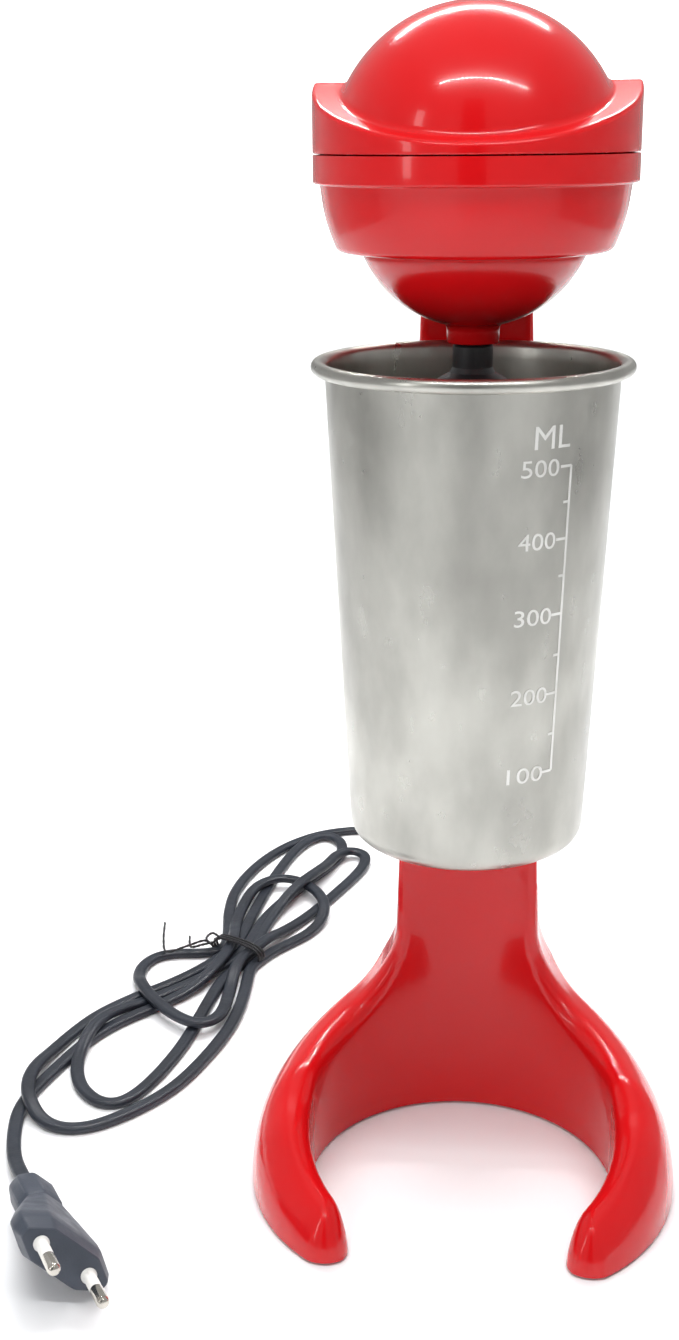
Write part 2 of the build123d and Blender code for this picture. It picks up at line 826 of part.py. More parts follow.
# ---------------------------------------------------------------- cup
with BuildPart() as cup:
    with BuildSketch(front_plane):
        with BuildLine():
            outside = FilletPolyline((0, cup_bottom_z), (cup_bottom_r, cup_bottom_z), (cup_top_r, bead_z),
                                     radius=cup_corner_r)
            inside = FilletPolyline(
                (0, cup_bottom_z + cup_wall),
                (cup_bottom_r - cup_wall, cup_bottom_z + cup_wall),
                (cup_top_r - cup_wall, bead_z),
                radius=cup_corner_r - cup_wall,
            )
            Line(outside @ 1, inside @ 1)
            Line(outside @ 0, inside @ 0)
        make_face()
        with Locations((bead_r, bead_z)):
            Circle(bead_tube_r)
    revolve(axis=drink_axis)
save(cup, "cup")

# ---------------------------------------------------------------- switch
pivot_y = 64.8
rocker_tilt = 10.0
with BuildPart() as switch_body:
    with BuildSketch(back_plane(56.5)):
        with Locations((0, switch_z)):
            Rectangle(switch_w - 0.2, switch_h - 0.2)
    extrude(amount=-(column_back_y - 56.5))
    with BuildSketch(back_plane(column_back_y)):
        with Locations((0, switch_z)):
            RectangleRounded(switch_w + 2.6, switch_h + 2.6, 1.2)
    extrude(amount=-1.4)
    with BuildSketch(back_plane(column_back_y + 1.4)):
        with Locations((0, switch_z)):
            Rectangle(rocker_w + 0.6, rocker_h + 0.8)
    extrude(amount=6.6, mode=Mode.SUBTRACT)
    with BuildSketch(side_plane):
        with Locations((pivot_y, switch_z)):
            Circle(1.0)
    extrude(amount=rocker_w / 2 + 1.0, both=True, mode=Mode.SUBTRACT)
save(switch_body, "switch_body")

with BuildPart() as rocker:
    with BuildSketch(Plane(side_plane.location * Location((pivot_y, switch_z, 0), (0, 0, rocker_tilt)))):
        with BuildLine():
            Polyline(
                (2.0, 0), (3.2, 6.6), (1.2, 6.8), (-2.5, 4.6), (-2.5, -4.6), (1.2, -6.8), (3.2, -6.6),
                close=True,
            )
        make_face()
    extrude(amount=rocker_w / 2, both=True)
    with BuildSketch(side_plane):
        with Locations((pivot_y, switch_z)):
            Circle(0.95)
    extrude(amount=rocker_w / 2 + 0.9, both=True)
save(rocker, "rocker_button")

with BuildPart() as terminals:
    with BuildSketch(back_plane(56.5)):
        for z in (switch_z - 5, switch_z + 1):
            with Locations((0, z)):
                Rectangle(4.6, 0.8)
    extrude(amount=3.6)
save(terminals, "switch_terminals")

# ---------------------------------------------------------------- cord
back_y = drink_y + stand_back_y
relief_tip_y = back_y + relief_length
with BuildPart() as strain_relief:
    relief_outline = [
        (0, 4.1), (6.2, 4.1), (6.2, 2.7), (4.5, 2.7), (4.5, 0), (5.6, 0), (5.6, -1.6),
        (4.6, -2.4), (2.9, -relief_length), (0, -relief_length),
    ]
    with BuildSketch(Plane((0, back_y, relief_z), x_dir=(1, 0, 0), z_dir=(0, 0, 1))):
        with BuildLine():
            Polyline(*[(r, -y) for r, y in relief_outline], close=True)
        make_face()
    revolve(axis=Axis((0, back_y, relief_z), (0, 1, 0)))
save(strain_relief, "strain_relief")

inner_cord_points = [
    (0, back_y - 4.1, relief_z), (0, back_y - 9.0, relief_z), (0, drink_y + 60.6, relief_z + 7),
    (0, drink_y + 59.5, 34), (0, drink_y + 59.8, 62), (3, drink_y + 60.2, 84), (8.5, drink_y + 60.4, 104),
    (9.2, drink_y + 59.4, 150), (8.6, drink_y + 58.6, 196), (8.0, drink_y + 57.6, 236),
    (6.6, drink_y + 57.4, 262), (2, drink_y + 54.6, 272.6),
]
inner_cord_form = tube_along(inner_cord_points, bend_radii(inner_cord_points), 1.7)
with BuildPart() as inner_cord:
    add(inner_cord_form)
save(inner_cord, "inner_cord")

with BuildPart() as cord_clamp:
    with BuildSketch(back_plane(clamp_y)):
        with Locations((0, clamp_z)):
            SlotOverall(2 * clamp_x + 7.0, 6.4)
        with Locations((-clamp_x, clamp_z), (clamp_x, clamp_z)):
            Circle(screw_clear_r, mode=Mode.SUBTRACT)
    extrude(amount=-2.4)
save(cord_clamp, "cord_clamp")
clamp_screw_planes = [Plane((x, drink_y + clamp_y + 2.4, clamp_z), x_dir=(1, 0, 0), z_dir=(0, 1, 0))
                      for x in (-clamp_x, clamp_x)]
save_solids(screws_at(clamp_screw_planes, 9.0), "cord_clamp_screws")

lead_wire_points = [
    (1.2, drink_y + 61, switch_z + 9.5), (1.2, drink_y + 59.5, 301), (1.2, drink_y + 52, 313),
    (1.2, drink_y + 41, 316.5), (1.2, drink_y + 31, 319), (1.2, drink_y + 24.5, 329),
    (1.2, drink_y + 22, 343), (1.2, drink_y + 14.1, 351.0),
]
wire_form = tube_along(lead_wire_points, bend_radii(lead_wire_points), 0.9)
with BuildPart() as motor_leads:
    add(wire_form)
    mirror(about=Plane.YZ)
save(motor_leads, "motor_leads")

# the cord's free lead: out of the strain relief, back along the table, and round to the tied bundle
lead_points = [
    (0, relief_tip_y, relief_z), (0.4, 98, 8.6), (2, 116, 3.4), (6, 140, 2.1), (11, 172, 2.1),
    (13.5, 210, 2.1),
    (5, 246, 2.1), (-18, 271, 2.1), (-48, 281, 2.1), (-75, 275, 2.1), (-93, 256, 2.1), (-104, 231, 2.1),
    (-109.5, 204, 2.1), (-107.5, 180, 2.1), (-102.5, 160, 3.4),
]
# the free end: out of the bundle's lower loop and round to the plug
tail_points = [
    (-156.6, 34, 2.6), (-157.2, 23, 2.1), (-156.2, 10, 2.1), (-154.0, -3, 2.1), (-150.4, -14.5, 2.6),
    (-145.8, -24, 4.2), (-137.3, -39.6, 7.0),
]

lead_form = tube_along(lead_points, bend_radii(lead_points), cord_tube_r)
with BuildPart() as cord_lead:
    add(lead_form)
save(cord_lead, "cord_lead")
tail_form = tube_along(tail_points, bend_radii(tail_points), cord_tube_r)
with BuildPart() as cord_tail:
    add(tail_form)
save(cord_tail, "cord_tail")
# the tied bundle: two lobes of loops either side of the tie
bundle_t = 6.0
bundle_outline = [
    (-106, 146), (-109, 166), (-104, 192), (-100, 222), (-92, 248), (-80, 266), (-68, 266), (-54, 244),
    (-55, 222), (-64, 196), (-64, 166), (-76, 148), (-88, 134), (-89, 112), (-89, 92), (-95, 62), (-104, 36),
    (-120, 16), (-134, 2), (-148, 4), (-160, 22), (-162, 44), (-154, 68), (-143, 86), (-140, 108),
    (-141, 130), (-130, 142), (-116, 145),
]
with BuildPart() as cord_bundle:
    with BuildSketch():
        with BuildLine():
            Spline(*bundle_outline, periodic=True)
        make_face()
    extrude(amount=bundle_t)
save(cord_bundle, "cord_bundle")

# twisted wire tie round the bundle's waist
tie_middle = Vector(-98, 140, 0)
tie_across = Vector(0.86, -0.5, 0).normalized()
with BuildPart() as cord_tie:
    with BuildSketch(Plane(tie_middle, x_dir=tie_across, z_dir=tie_across.cross(Vector(0, 0, 1)))):
        with Locations((0, bundle_t / 2 + 0.8)):
            RectangleRounded(26, bundle_t + 1.5, 3.2)
            RectangleRounded(24.4, bundle_t - 0.1, 2.4, mode=Mode.SUBTRACT)
    extrude(amount=1.6, both=True)
save(cord_tie, "cord_tie")

# two-pin plug lying on its edge
plug_face = Vector(-114.3, -84.0, 16.2)
pin_way = Vector(0.45, -0.87, 0.18).normalized()
wide_way = Vector(0.69, 0.17, -0.70)
wide_way = (wide_way - pin_way * wide_way.dot(pin_way)).normalized()
plug_w = 34.0
plug_t = 13.6
plug_taper_end = 35.0
grip_w = 15.6
grip_t = 11.8
grip_chamfer = 3.2
grip_end = 52.0
pin_spacing = 18.6
pin_r = 2.0
pin_l = 19.0
sleeve_l = 10.0
sleeve_r = 1.9


def plug_plane(back):
    """Plane across the plug at a distance behind its face; x runs along its width."""
    return Plane(plug_face - pin_way * back, x_dir=wide_way, z_dir=pin_way)


with BuildPart() as plug_body:
    with BuildSketch(plug_plane(0)):
        RectangleRounded(plug_w - 2, plug_t - 1, 5.5)
    with BuildSketch(plug_plane(7)):
        RectangleRounded(plug_w, plug_t, 5.8)
    with BuildSketch(plug_plane(22)):
        RectangleRounded(plug_w - 9, plug_t - 1.0, 5.2)
    with BuildSketch(plug_plane(plug_taper_end)):
        RectangleRounded(grip_w - 1.0, grip_t - 1.0, 4.2)
    loft()
    with BuildSketch(plug_plane(plug_taper_end)) as grip_outline:
        Rectangle(grip_w, grip_t)
        chamfer(grip_outline.vertices(), length=grip_chamfer)
    extrude(amount=plug_taper_end - grip_end)
save(plug_body, "plug_body")

with BuildPart() as plug_sleeves:
    with BuildSketch(plug_plane(0)):
        with Locations((-pin_spacing / 2, 0), (pin_spacing / 2, 0)):
            Circle(sleeve_r)
            Circle(1.5, mode=Mode.SUBTRACT)
    extrude(amount=sleeve_l)
save(plug_sleeves, "plug_sleeves")

with BuildPart() as plug_pins:
    with BuildSketch(plug_plane(0)):
        with Locations((-pin_spacing / 2, 0), (pin_spacing / 2, 0)):
            Circle(1.5)
    extrude(amount=sleeve_l)
    with BuildSketch(plug_plane(-sleeve_l)):
        with Locations((-pin_spacing / 2, 0), (pin_spacing / 2, 0)):
            Circle(pin_r)
    extrude(amount=pin_l - sleeve_l)
    fillet(plug_pins.edges().group_by(Axis(plug_face, pin_way))[-1], 0.9)
save(plug_pins, "plug_pins")
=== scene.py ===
import json
import math

import bmesh
import bpy
import numpy as np
from mathutils import Matrix, Vector


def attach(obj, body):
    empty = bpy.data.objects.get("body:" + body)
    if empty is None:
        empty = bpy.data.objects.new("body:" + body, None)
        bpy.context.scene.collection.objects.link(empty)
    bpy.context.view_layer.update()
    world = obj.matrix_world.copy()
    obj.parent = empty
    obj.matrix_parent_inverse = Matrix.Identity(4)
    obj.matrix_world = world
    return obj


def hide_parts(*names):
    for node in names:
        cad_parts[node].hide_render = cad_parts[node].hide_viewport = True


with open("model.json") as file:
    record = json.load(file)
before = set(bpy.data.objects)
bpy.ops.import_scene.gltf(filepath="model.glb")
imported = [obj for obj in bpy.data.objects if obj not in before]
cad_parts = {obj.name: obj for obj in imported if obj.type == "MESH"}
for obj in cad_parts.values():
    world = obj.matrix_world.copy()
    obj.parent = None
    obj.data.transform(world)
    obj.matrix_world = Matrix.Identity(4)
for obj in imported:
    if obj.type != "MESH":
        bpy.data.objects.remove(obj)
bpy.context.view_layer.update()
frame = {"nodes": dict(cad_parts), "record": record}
nodes = frame["nodes"]

MM = 0.001
DRINK_Y = -13.0          # the drink axis, in mm
scene = bpy.context.scene
scene.view_settings.view_transform = "Standard"


# ---------------------------------------------------------------- camera
CAMERA_PLACE = (0.01044, -0.50036, 0.33339)      # metres
CAMERA_ANGLES = (5.749, 17.618, -0.508)          # yaw, pitch downward and roll, in degrees
LENS_MM, SENSOR_MM = 45.81, 36.0


def place_camera():
    """Camera in front of the mixer and above it, looking down at it."""
    yaw, pitch, roll = (math.radians(a) for a in CAMERA_ANGLES)
    forward = Vector((-math.sin(yaw) * math.cos(pitch), math.cos(yaw) * math.cos(pitch), -math.sin(pitch)))
    right = Vector((math.cos(yaw), math.sin(yaw), 0.0))
    up = right.cross(forward)
    x_axis = math.cos(roll) * right + math.sin(roll) * up
    y_axis = -math.sin(roll) * right + math.cos(roll) * up
    data = bpy.data.cameras.new("camera")
    data.sensor_width = SENSOR_MM
    data.lens = LENS_MM
    camera = bpy.data.objects.new("camera", data)
    turn = Matrix((x_axis, y_axis, -forward)).transposed().to_4x4()
    camera.matrix_world = Matrix.Translation(CAMERA_PLACE) @ turn
    scene.collection.objects.link(camera)
    scene.camera = camera


place_camera()


# ---------------------------------------------------------------- materials
NOISE_DETAIL = 6.0
TINT_STOPS = (0.22, 0.78)        # where on the noise the two colours are pure
ROUGH_STOPS = (0.3, 0.7)         # where on the noise the roughness is at its ends
BUMP_DEPTH = 0.0002              # metres


def material(name, base, roughness, metallic=0.0, coat=0.0, coat_roughness=0.05, specular=0.5,
             tint=None, tint_scale=20.0, bump=0.0, bump_scale=300.0, rough_spread=0.0,
             stretch=(1, 1, 1)):
    """Principled material whose colour, roughness and normal vary over the surface with noise."""
    made = bpy.data.materials.new(name)
    made.use_nodes = True
    tree = made.node_tree
    shader = tree.nodes["Principled BSDF"]
    shader.inputs["Base Color"].default_value = (*base, 1)
    shader.inputs["Roughness"].default_value = roughness
    shader.inputs["Metallic"].default_value = metallic
    shader.inputs["Coat Weight"].default_value = coat
    shader.inputs["Coat Roughness"].default_value = coat_roughness
    shader.inputs["Specular IOR Level"].default_value = specular
    place = tree.nodes.new("ShaderNodeTexCoord")
    stretched = tree.nodes.new("ShaderNodeMapping")
    stretched.inputs["Scale"].default_value = stretch
    tree.links.new(place.outputs["Object"], stretched.inputs["Vector"])

    def noise(scale):
        node = tree.nodes.new("ShaderNodeTexNoise")
        node.inputs["Scale"].default_value = scale
        node.inputs["Detail"].default_value = NOISE_DETAIL
        tree.links.new(stretched.outputs["Vector"], node.inputs["Vector"])
        return node

    if tint:
        blend = tree.nodes.new("ShaderNodeValToRGB")
        blend.color_ramp.interpolation = "EASE"
        for stop, place_on_it, colour in zip(blend.color_ramp.elements, TINT_STOPS, (base, tint)):
            stop.position = place_on_it
            stop.color = (*colour, 1)
        tree.links.new(noise(tint_scale).outputs["Fac"], blend.inputs["Fac"])
        tree.links.new(blend.outputs["Color"], shader.inputs["Base Color"])
    if rough_spread:
        spread = tree.nodes.new("ShaderNodeMapRange")
        spread.inputs["From Min"].default_value = ROUGH_STOPS[0]
        spread.inputs["From Max"].default_value = ROUGH_STOPS[1]
        spread.inputs["To Min"].default_value = max(roughness - rough_spread, 0.02)
        spread.inputs["To Max"].default_value = roughness + rough_spread
        tree.links.new(noise(tint_scale * 3).outputs["Fac"], spread.inputs["Value"])
        tree.links.new(spread.outputs["Result"], shader.inputs["Roughness"])
    if bump:
        relief = tree.nodes.new("ShaderNodeBump")
        relief.inputs["Strength"].default_value = bump
        relief.inputs["Distance"].default_value = BUMP_DEPTH
        tree.links.new(noise(bump_scale).outputs["Fac"], relief.inputs["Height"])
        tree.links.new(relief.outputs["Normal"], shader.inputs["Normal"])
    return made


RED = material("red_gloss", (0.61, 0.004, 0.006), 0.2, coat=0.35, coat_roughness=0.012,
               specular=0.28, tint=(0.55, 0.004, 0.006), tint_scale=14.0, bump=0.02,
               bump_scale=420.0, rough_spread=0.03)
CORD_BLACK = material("cord_black", (0.011, 0.014, 0.021), 0.42, tint=(0.02, 0.025, 0.036),
                      tint_scale=60.0, bump=0.25, bump_scale=900.0, rough_spread=0.08)


# ---------------------------------------------------------------- pieces
redrawn = set()          # the CAD nodes that pieces of this scene stand in for


def add_piece(name, data, paint, body, slot, *replaced):
    """Puts a piece in the scene on a body of the frame, in place of the CAD nodes named last."""
    piece = bpy.data.objects.new(name, data)
    scene.collection.objects.link(piece)
    data.materials.append(paint)
    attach(piece, body)
    if replaced:
        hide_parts(*replaced)
        redrawn.update(replaced)
    return piece


# ---------------------------------------------------------------- cord
# The route is in mm in the frame's own axes: the lead, six loops through the tie, and the tail.
CORD_W = 5.0
CORD_T = 3.1
CORD_EXIT_Z = 10.0
LYING = 1.6       # height of the middle of a cord on the table
OVER = 4.8        # the same, over another

lead = [(0, 81, 10), (0, 84, 10), (0.4, 98, 8.6), (2, 116, 3.4), (6, 140, LYING), (11, 172, LYING),
        (13.5, 210, LYING), (5, 246, LYING), (-18, 271, LYING), (-48, 281, LYING), (-75, 275, LYING),
        (-93, 256, LYING), (-104, 231, LYING), (-109.5, 204, LYING), (-108.5, 180, LYING),
        (-105.5, 162, LYING)]
loop_d = [(-104.4, 149.5, LYING), (-107.2, 144, LYING), (-114, 141.2, LYING), (-123.4, 140.8, LYING),
          (-131.6, 137.6, LYING), (-136, 129.4, LYING), (-136.2, 119, 2.0), (-132.6, 107.5, 4.6),
          (-126, 96.3, OVER), (-117.6, 86, OVER), (-109.5, 79, OVER), (-102.4, 76.6, OVER),
          (-97, 81.5, OVER), (-95.8, 92, 3.8), (-96.6, 104, 1.8), (-96.8, 113, 1.9), (-96.8, 121, 4.0),
          (-96.2, 129, OVER), (-93.7, 137.5, OVER), (-90.6, 143, OVER)]
loop_b = [(-86.5, 152.5, 4.6), (-81.4, 163.5, 2.4), (-75, 176, LYING), (-68.6, 190, LYING),
          (-62.6, 206, LYING), (-56.6, 222, LYING), (-52.4, 236, 2.2), (-53, 246.5, 2.8),
          (-60.5, 249.5, 3.6), (-66.4, 241, 4.8), (-69, 229, 5.4), (-72.8, 215.5, 7.4),
          (-78.6, 202.5, 7.8), (-84.6, 190, 5.0), (-89, 176, 2.0), (-91.4, 160, LYING),
          (-91.2, 148, LYING), (-93.5, 137.4, LYING), (-96.6, 130, LYING)]
loop_f = [(-101.4, 118, LYING), (-103.4, 103, LYING), (-105, 87.4, LYING), (-106.8, 71, LYING),
          (-109.4, 57, LYING), (-113.4, 41.7, LYING), (-118.4, 29, LYING), (-124, 23, LYING),
          (-131.6, 24.2, LYING), (-139.4, 33, LYING), (-144, 45.4, LYING), (-145.4, 57.5, 2.0),
          (-144.4, 69, 4.4), (-141.4, 79.5, 4.8), (-136.6, 88.5, 3.4), (-129.6, 97.4, LYING),
          (-117.6, 110, LYING), (-108, 122, LYING), (-101.2, 133.6, LYING)]
loop_a = [(-96.6, 143, LYING), (-94.4, 156, LYING), (-92.6, 173, LYING), (-88.4, 187.7, LYING),
          (-82, 205, LYING), (-75, 220.8, LYING), (-69, 234, LYING), (-64.6, 247.5, LYING),
          (-65.4, 261, 2.0), (-71.6, 269, 2.4), (-79.6, 267, 2.4), (-86.4, 254, 2.0),
          (-90.8, 235.4, LYING), (-94.2, 213.8, LYING), (-96.2, 194.4, LYING), (-98, 175.8, LYING),
          (-99, 160, LYING), (-100.4, 148.5, LYING), (-104.6, 139.6, LYING)]
loop_e = [(-111, 127.6, LYING), (-121.4, 113.6, LYING), (-134.6, 100.4, LYING), (-145.2, 86.4, LYING),
          (-151.4, 72, LYING), (-155.8, 57, 2.0), (-158.6, 43, 4.0), (-158.2, 30, OVER),
          (-154.2, 18.4, 4.4), (-147.6, 9.6, 2.2), (-139.4, 6, LYING), (-131, 7.4, LYING),
          (-124.4, 11.8, LYING), (-117, 19, LYING), (-109.6, 28.5, LYING), (-103.6, 39.5, LYING),
          (-99.2, 52, LYING), (-95.4, 65, LYING), (-92.4, 78, LYING), (-90.8, 91, LYING),
          (-90.4, 105, LYING), (-90.8, 118, LYING), (-91.4, 129, LYING), (-88.6, 136.4, LYING)]
loop_c = [(-83.6, 146, LYING), (-77.4, 154, LYING), (-70.6, 163.4, LYING), (-66.4, 174.4, 2.4),
          (-66, 186.6, 4.6), (-70.4, 198.6, OVER), (-77.8, 208, OVER), (-85.8, 212.6, OVER),
          (-94.2, 210.8, OVER), (-100.6, 200.6, 4.4), (-103.4, 185.4, 2.0), (-103.6, 168.4, 2.2),
          (-101.4, 152.5, 4.6), (-101.9, 142.2, OVER), (-102.6, 134.5, OVER)]
tail = [(-106, 119.5, 4.8), (-112.6, 106.8, 2.4), (-123.4, 94.6, LYING), (-134, 83.4, LYING),
        (-141.4, 72.6, LYING), (-147, 60, LYING), (-150.6, 48, LYING), (-153.8, 37, LYING),
        (-156.6, 26, LYING), (-157.4, 16, LYING), (-156.2, 7, LYING), (-154, -3, 1.8),
        (-150.4, -14.5, 2.6), (-145.8, -24, 4.2), (-140.6, -33.2, 5.8), (-137.6, -39, 7.0)]
CORD_ROUTE = lead + loop_d + loop_b + loop_f + loop_a + loop_e + loop_c + tail


def flat_cord_section():
    """Closed curve across the flat twin cord: two round cores joined by a shallow waist."""
    curve = bpy.data.curves.new("cord_section", "CURVE")
    curve.dimensions = "2D"
    spline = curve.splines.new("POLY")
    count = 28
    waist_depth, waist_half_w = 0.16, 0.55
    square_x, square_y = 0.8, 0.62       # below 1, an ellipse grows squarer
    spline.points.add(count - 1)
    half_w, half_t = CORD_W / 2, CORD_T / 2
    for i, point in enumerate(spline.points):
        a = -2 * math.pi * i / count
        x = half_w * math.copysign(abs(math.cos(a)) ** square_x, math.cos(a))
        waist = 1 - waist_depth * math.exp(-(x / waist_half_w) ** 2)
        y = half_t * waist * math.copysign(abs(math.sin(a)) ** square_y, math.sin(a))
        point.co = (x * MM, y * MM, 0, 1)
    spline.use_cyclic_u = True
    section = bpy.data.objects.new("cord_section", curve)
    scene.collection.objects.link(section)
    section.hide_render = True
    return section


def lay_cord():
    """The cord: its flat section swept along the route, lying flat."""
    curve = bpy.data.curves.new("power_cord", "CURVE")
    curve.dimensions = "3D"
    curve.twist_mode = "Z_UP"
    curve.resolution_u = 8
    spline = curve.splines.new("NURBS")
    spline.points.add(len(CORD_ROUTE) - 1)
    for point, place in zip(spline.points, CORD_ROUTE):
        point.co = (*(c * MM for c in place), 1)
    spline.order_u = 3
    spline.use_endpoint_u = True
    curve.bevel_mode = "OBJECT"
    curve.bevel_object = flat_cord_section()
    curve.use_fill_caps = True
    return add_piece("power_cord", curve, CORD_BLACK, "root", "black_cord",
                     "cord_lead", "cord_bundle", "cord_tail")


cord = lay_cord()


# ---------------------------------------------------------------- implicit shape of the stand
WALL = 2.2
CUP_BAY_R, CUP_BAY_TOP = 49.4, 296.0         # the round hollow in front of the column
FOOT_R, FOOT_Y = 69.5, 7.1                   # the foot's round outline, and its middle
FLARE = ((69.5, 28), (24.9, 52), (14.6, 361))                   # half width and height, from the foot up
SIDE = ((-80, 11.5), (-36, 15.5), (8, 38.5), (34, 100))         # y and height of an arm's top, from its toe
COLUMN_FRONT, COLUMN_TOP = 34.0, 331.0
COLUMN_BACK = ((66, 200), (73, 60))          # y and height where the back starts and stops sloping


def smax(a, b, r):
    """Intersection of two fields with a rounded edge."""
    return np.minimum(np.maximum(a, b), -r) + np.hypot(np.maximum(a + r, 0), np.maximum(b + r, 0))


def smin(a, b, r):
    """Union of two fields with a rounded inner corner."""
    return -smax(-a, -b, r)


def ramp(v, low, high):
    """0 up to low, 1 from high, with an eased slope between."""
    t = np.clip((v - low) / (high - low), 0, 1)
    return t * t * (3 - 2 * t)


def beside(u, v, start, end):
    """Distance to the left of the line from start to end."""
    du, dv = end[0] - start[0], end[1] - start[1]
    return (du * (v - start[1]) - dv * (u - start[0])) / math.hypot(du, dv)


def stand_field(x, y, z):
    """Negative inside the stand. Millimetres; y is measured from the drink axis."""
    ax = np.abs(x)
    flare = smin(beside(ax, z, FLARE[1], FLARE[0]), beside(ax, z, FLARE[2], FLARE[1]), 16.0)
    toe, arm, rise = (beside(y, z, start, end) for start, end in zip(SIDE, SIDE[1:]))
    swoosh = smin(smin(smin(toe, arm, 4.5), rise, 6.8), COLUMN_FRONT - y, 3.2)
    roof = smax(smax(flare, swoosh, 10.0), z - COLUMN_TOP, 1.5)
    back = np.maximum(np.minimum(y - COLUMN_BACK[0][0], beside(y, z, *COLUMN_BACK)), y - COLUMN_BACK[1][0])
    ring = np.hypot(x, y - FOOT_Y) - FOOT_R
    arm_end = -0.695 * ax - 0.719 * y - 7.5          # a slanted plane ends each arm
    outside = smax(smax(ring, arm_end, 8.0) - 40.0 * ramp(z, 45, 95), back, 4.0)
    thin = ramp(z, 40, 95)
    reach_in, reach_down = 12.5 - 9.0 * thin, 22.0 - 18.5 * thin
    p, q = outside / reach_in, roof / reach_down
    p1, q1 = np.maximum(p + 1, 0), np.maximum(q + 1, 0)
    length = np.hypot(p1, q1)
    tiny = 1e-6
    slope = np.hypot(p1 / reach_in, q1 / reach_down) / np.maximum(length, tiny)
    steep = np.where(length > tiny, slope, 1 / reach_in)
    body = (np.minimum(np.maximum(p, q), -1) + length) / steep
    bay = np.minimum(CUP_BAY_R - np.hypot(x, y), CUP_BAY_TOP - z)
    return smax(body, bay, 8.3 - 6.1 * ramp(z, 42, 90))


def surface(field, low, high, cell):
    """Mesh of a field's zero surface: a point in each cell that it crosses, and quads between them."""
    axes = [np.arange(a, b + cell, cell) for a, b in zip(low, high)]
    grid = field(axes[0][:, None, None], axes[1][None, :, None], axes[2][None, None, :])
    inside = grid < 0
    corners = [(i, j, k) for i in (0, 1) for j in (0, 1) for k in (0, 1)]
    nx, ny, nz = (n - 1 for n in grid.shape)
    votes = sum(inside[i:i + nx, j:j + ny, k:k + nz].astype(np.int8) for i, j, k in corners)
    cells = np.argwhere((votes > 0) & (votes < 8))
    number = -np.ones(votes.shape, np.int64)
    number[tuple(cells.T)] = np.arange(len(cells))
    total = np.zeros((len(cells), 3))
    count = np.zeros(len(cells))
    for axis in range(3):
        step = np.eye(3, dtype=int)[axis]
        for corner in corners:
            if corner[axis]:
                continue
            near = cells + corner
            a, b = grid[tuple(near.T)], grid[tuple((near + step).T)]
            crosses = (a < 0) != (b < 0)
            share = np.where(crosses, a / np.where(crosses, a - b, 1), 0)
            total += np.where(crosses[:, None], np.array(corner) + share[:, None] * step, 0)
            count += crosses
    points = np.array(low) + (cells + total / count[:, None]) * cell
    probe, least_slope = 0.05, 0.05
    for _ in range(3):
        value = field(*points.T)
        slope = np.stack([(field(*(points + d).T) - field(*(points - d).T)) / (2 * probe)
                          for d in probe * np.eye(3)], 1)
        move = value / np.maximum((slope**2).sum(1), least_slope)
        points -= slope * np.clip(move, -cell, cell)[:, None]
    quads = []
    for axis in range(3):
        step = np.eye(3, dtype=int)[axis]
        next_axis, last_axis = (axis + 1) % 3, (axis + 2) % 3
        s1, s2 = np.eye(3, dtype=int)[next_axis], np.eye(3, dtype=int)[last_axis]
        trimmed = tuple(slice(0, n - d) for n, d in zip(grid.shape, step))
        shifted = tuple(slice(d, n) for n, d in zip(grid.shape, step))
        flips = inside[trimmed] != inside[shifted]
        at = np.argwhere(flips)
        for other in (next_axis, last_axis):
            at = at[(at[:, other] > 0) & (at[:, other] < votes.shape[other])]
        ring = np.stack([number[tuple((at - o).T)] for o in (s1 + s2, s2, 0 * s1, s1)], 1)
        outward = inside[tuple(at.T)]
        ring[~outward] = ring[~outward][:, ::-1]
        quads.append(ring)
    return points, np.concatenate(quads)


# ---------------------------------------------------------------- mesh helpers
BOX_FACES = [(0, 1, 3, 2), (4, 6, 7, 5), (0, 4, 5, 1), (2, 3, 7, 6), (0, 2, 6, 4), (1, 5, 7, 3)]


def mesh_of(name, points, faces):
    """Mesh from points in mm measured from the drink axis."""
    data = bpy.data.meshes.new(name)
    placed = (np.asarray(points, float) + (0, DRINK_Y, 0)) * MM
    data.from_pydata(placed.tolist(), [], [tuple(f) for f in faces])
    data.update()
    return data


def cut(bm, point, normal):
    """Cuts away the side that the normal points to, and closes the cut."""
    place = Vector(point) * MM + Vector((0, DRINK_Y * MM, 0))
    made = bmesh.ops.bisect_plane(bm, geom=bm.verts[:] + bm.edges[:] + bm.faces[:], dist=1e-7,
                                  plane_co=place, plane_no=Vector(normal), clear_outer=True)
    edges = [g for g in made["geom_cut"] if isinstance(g, bmesh.types.BMEdge)]
    bmesh.ops.triangle_fill(bm, use_beauty=True, use_dissolve=False, edges=edges)


def revolve(outline, segments):
    """Points and faces of a closed outline of (radius, z) turned about the drink axis."""
    outline = np.array(outline, float)
    angles = np.arange(segments) * 2 * np.pi / segments
    n = len(outline)
    points = np.stack([np.outer(np.sin(angles), outline[:, 0]),
                       np.outer(-np.cos(angles), outline[:, 0]),
                       np.broadcast_to(outline[:, 1], (segments, n))], 2).reshape(-1, 3)
    i, j = np.meshgrid(np.arange(segments), np.arange(n), indexing="ij")
    i2, j2 = (i + 1) % segments, (j + 1) % n
    faces = np.stack([i * n + j, i2 * n + j, i2 * n + j2, i * n + j2], 2).reshape(-1, 4)
    return points, faces


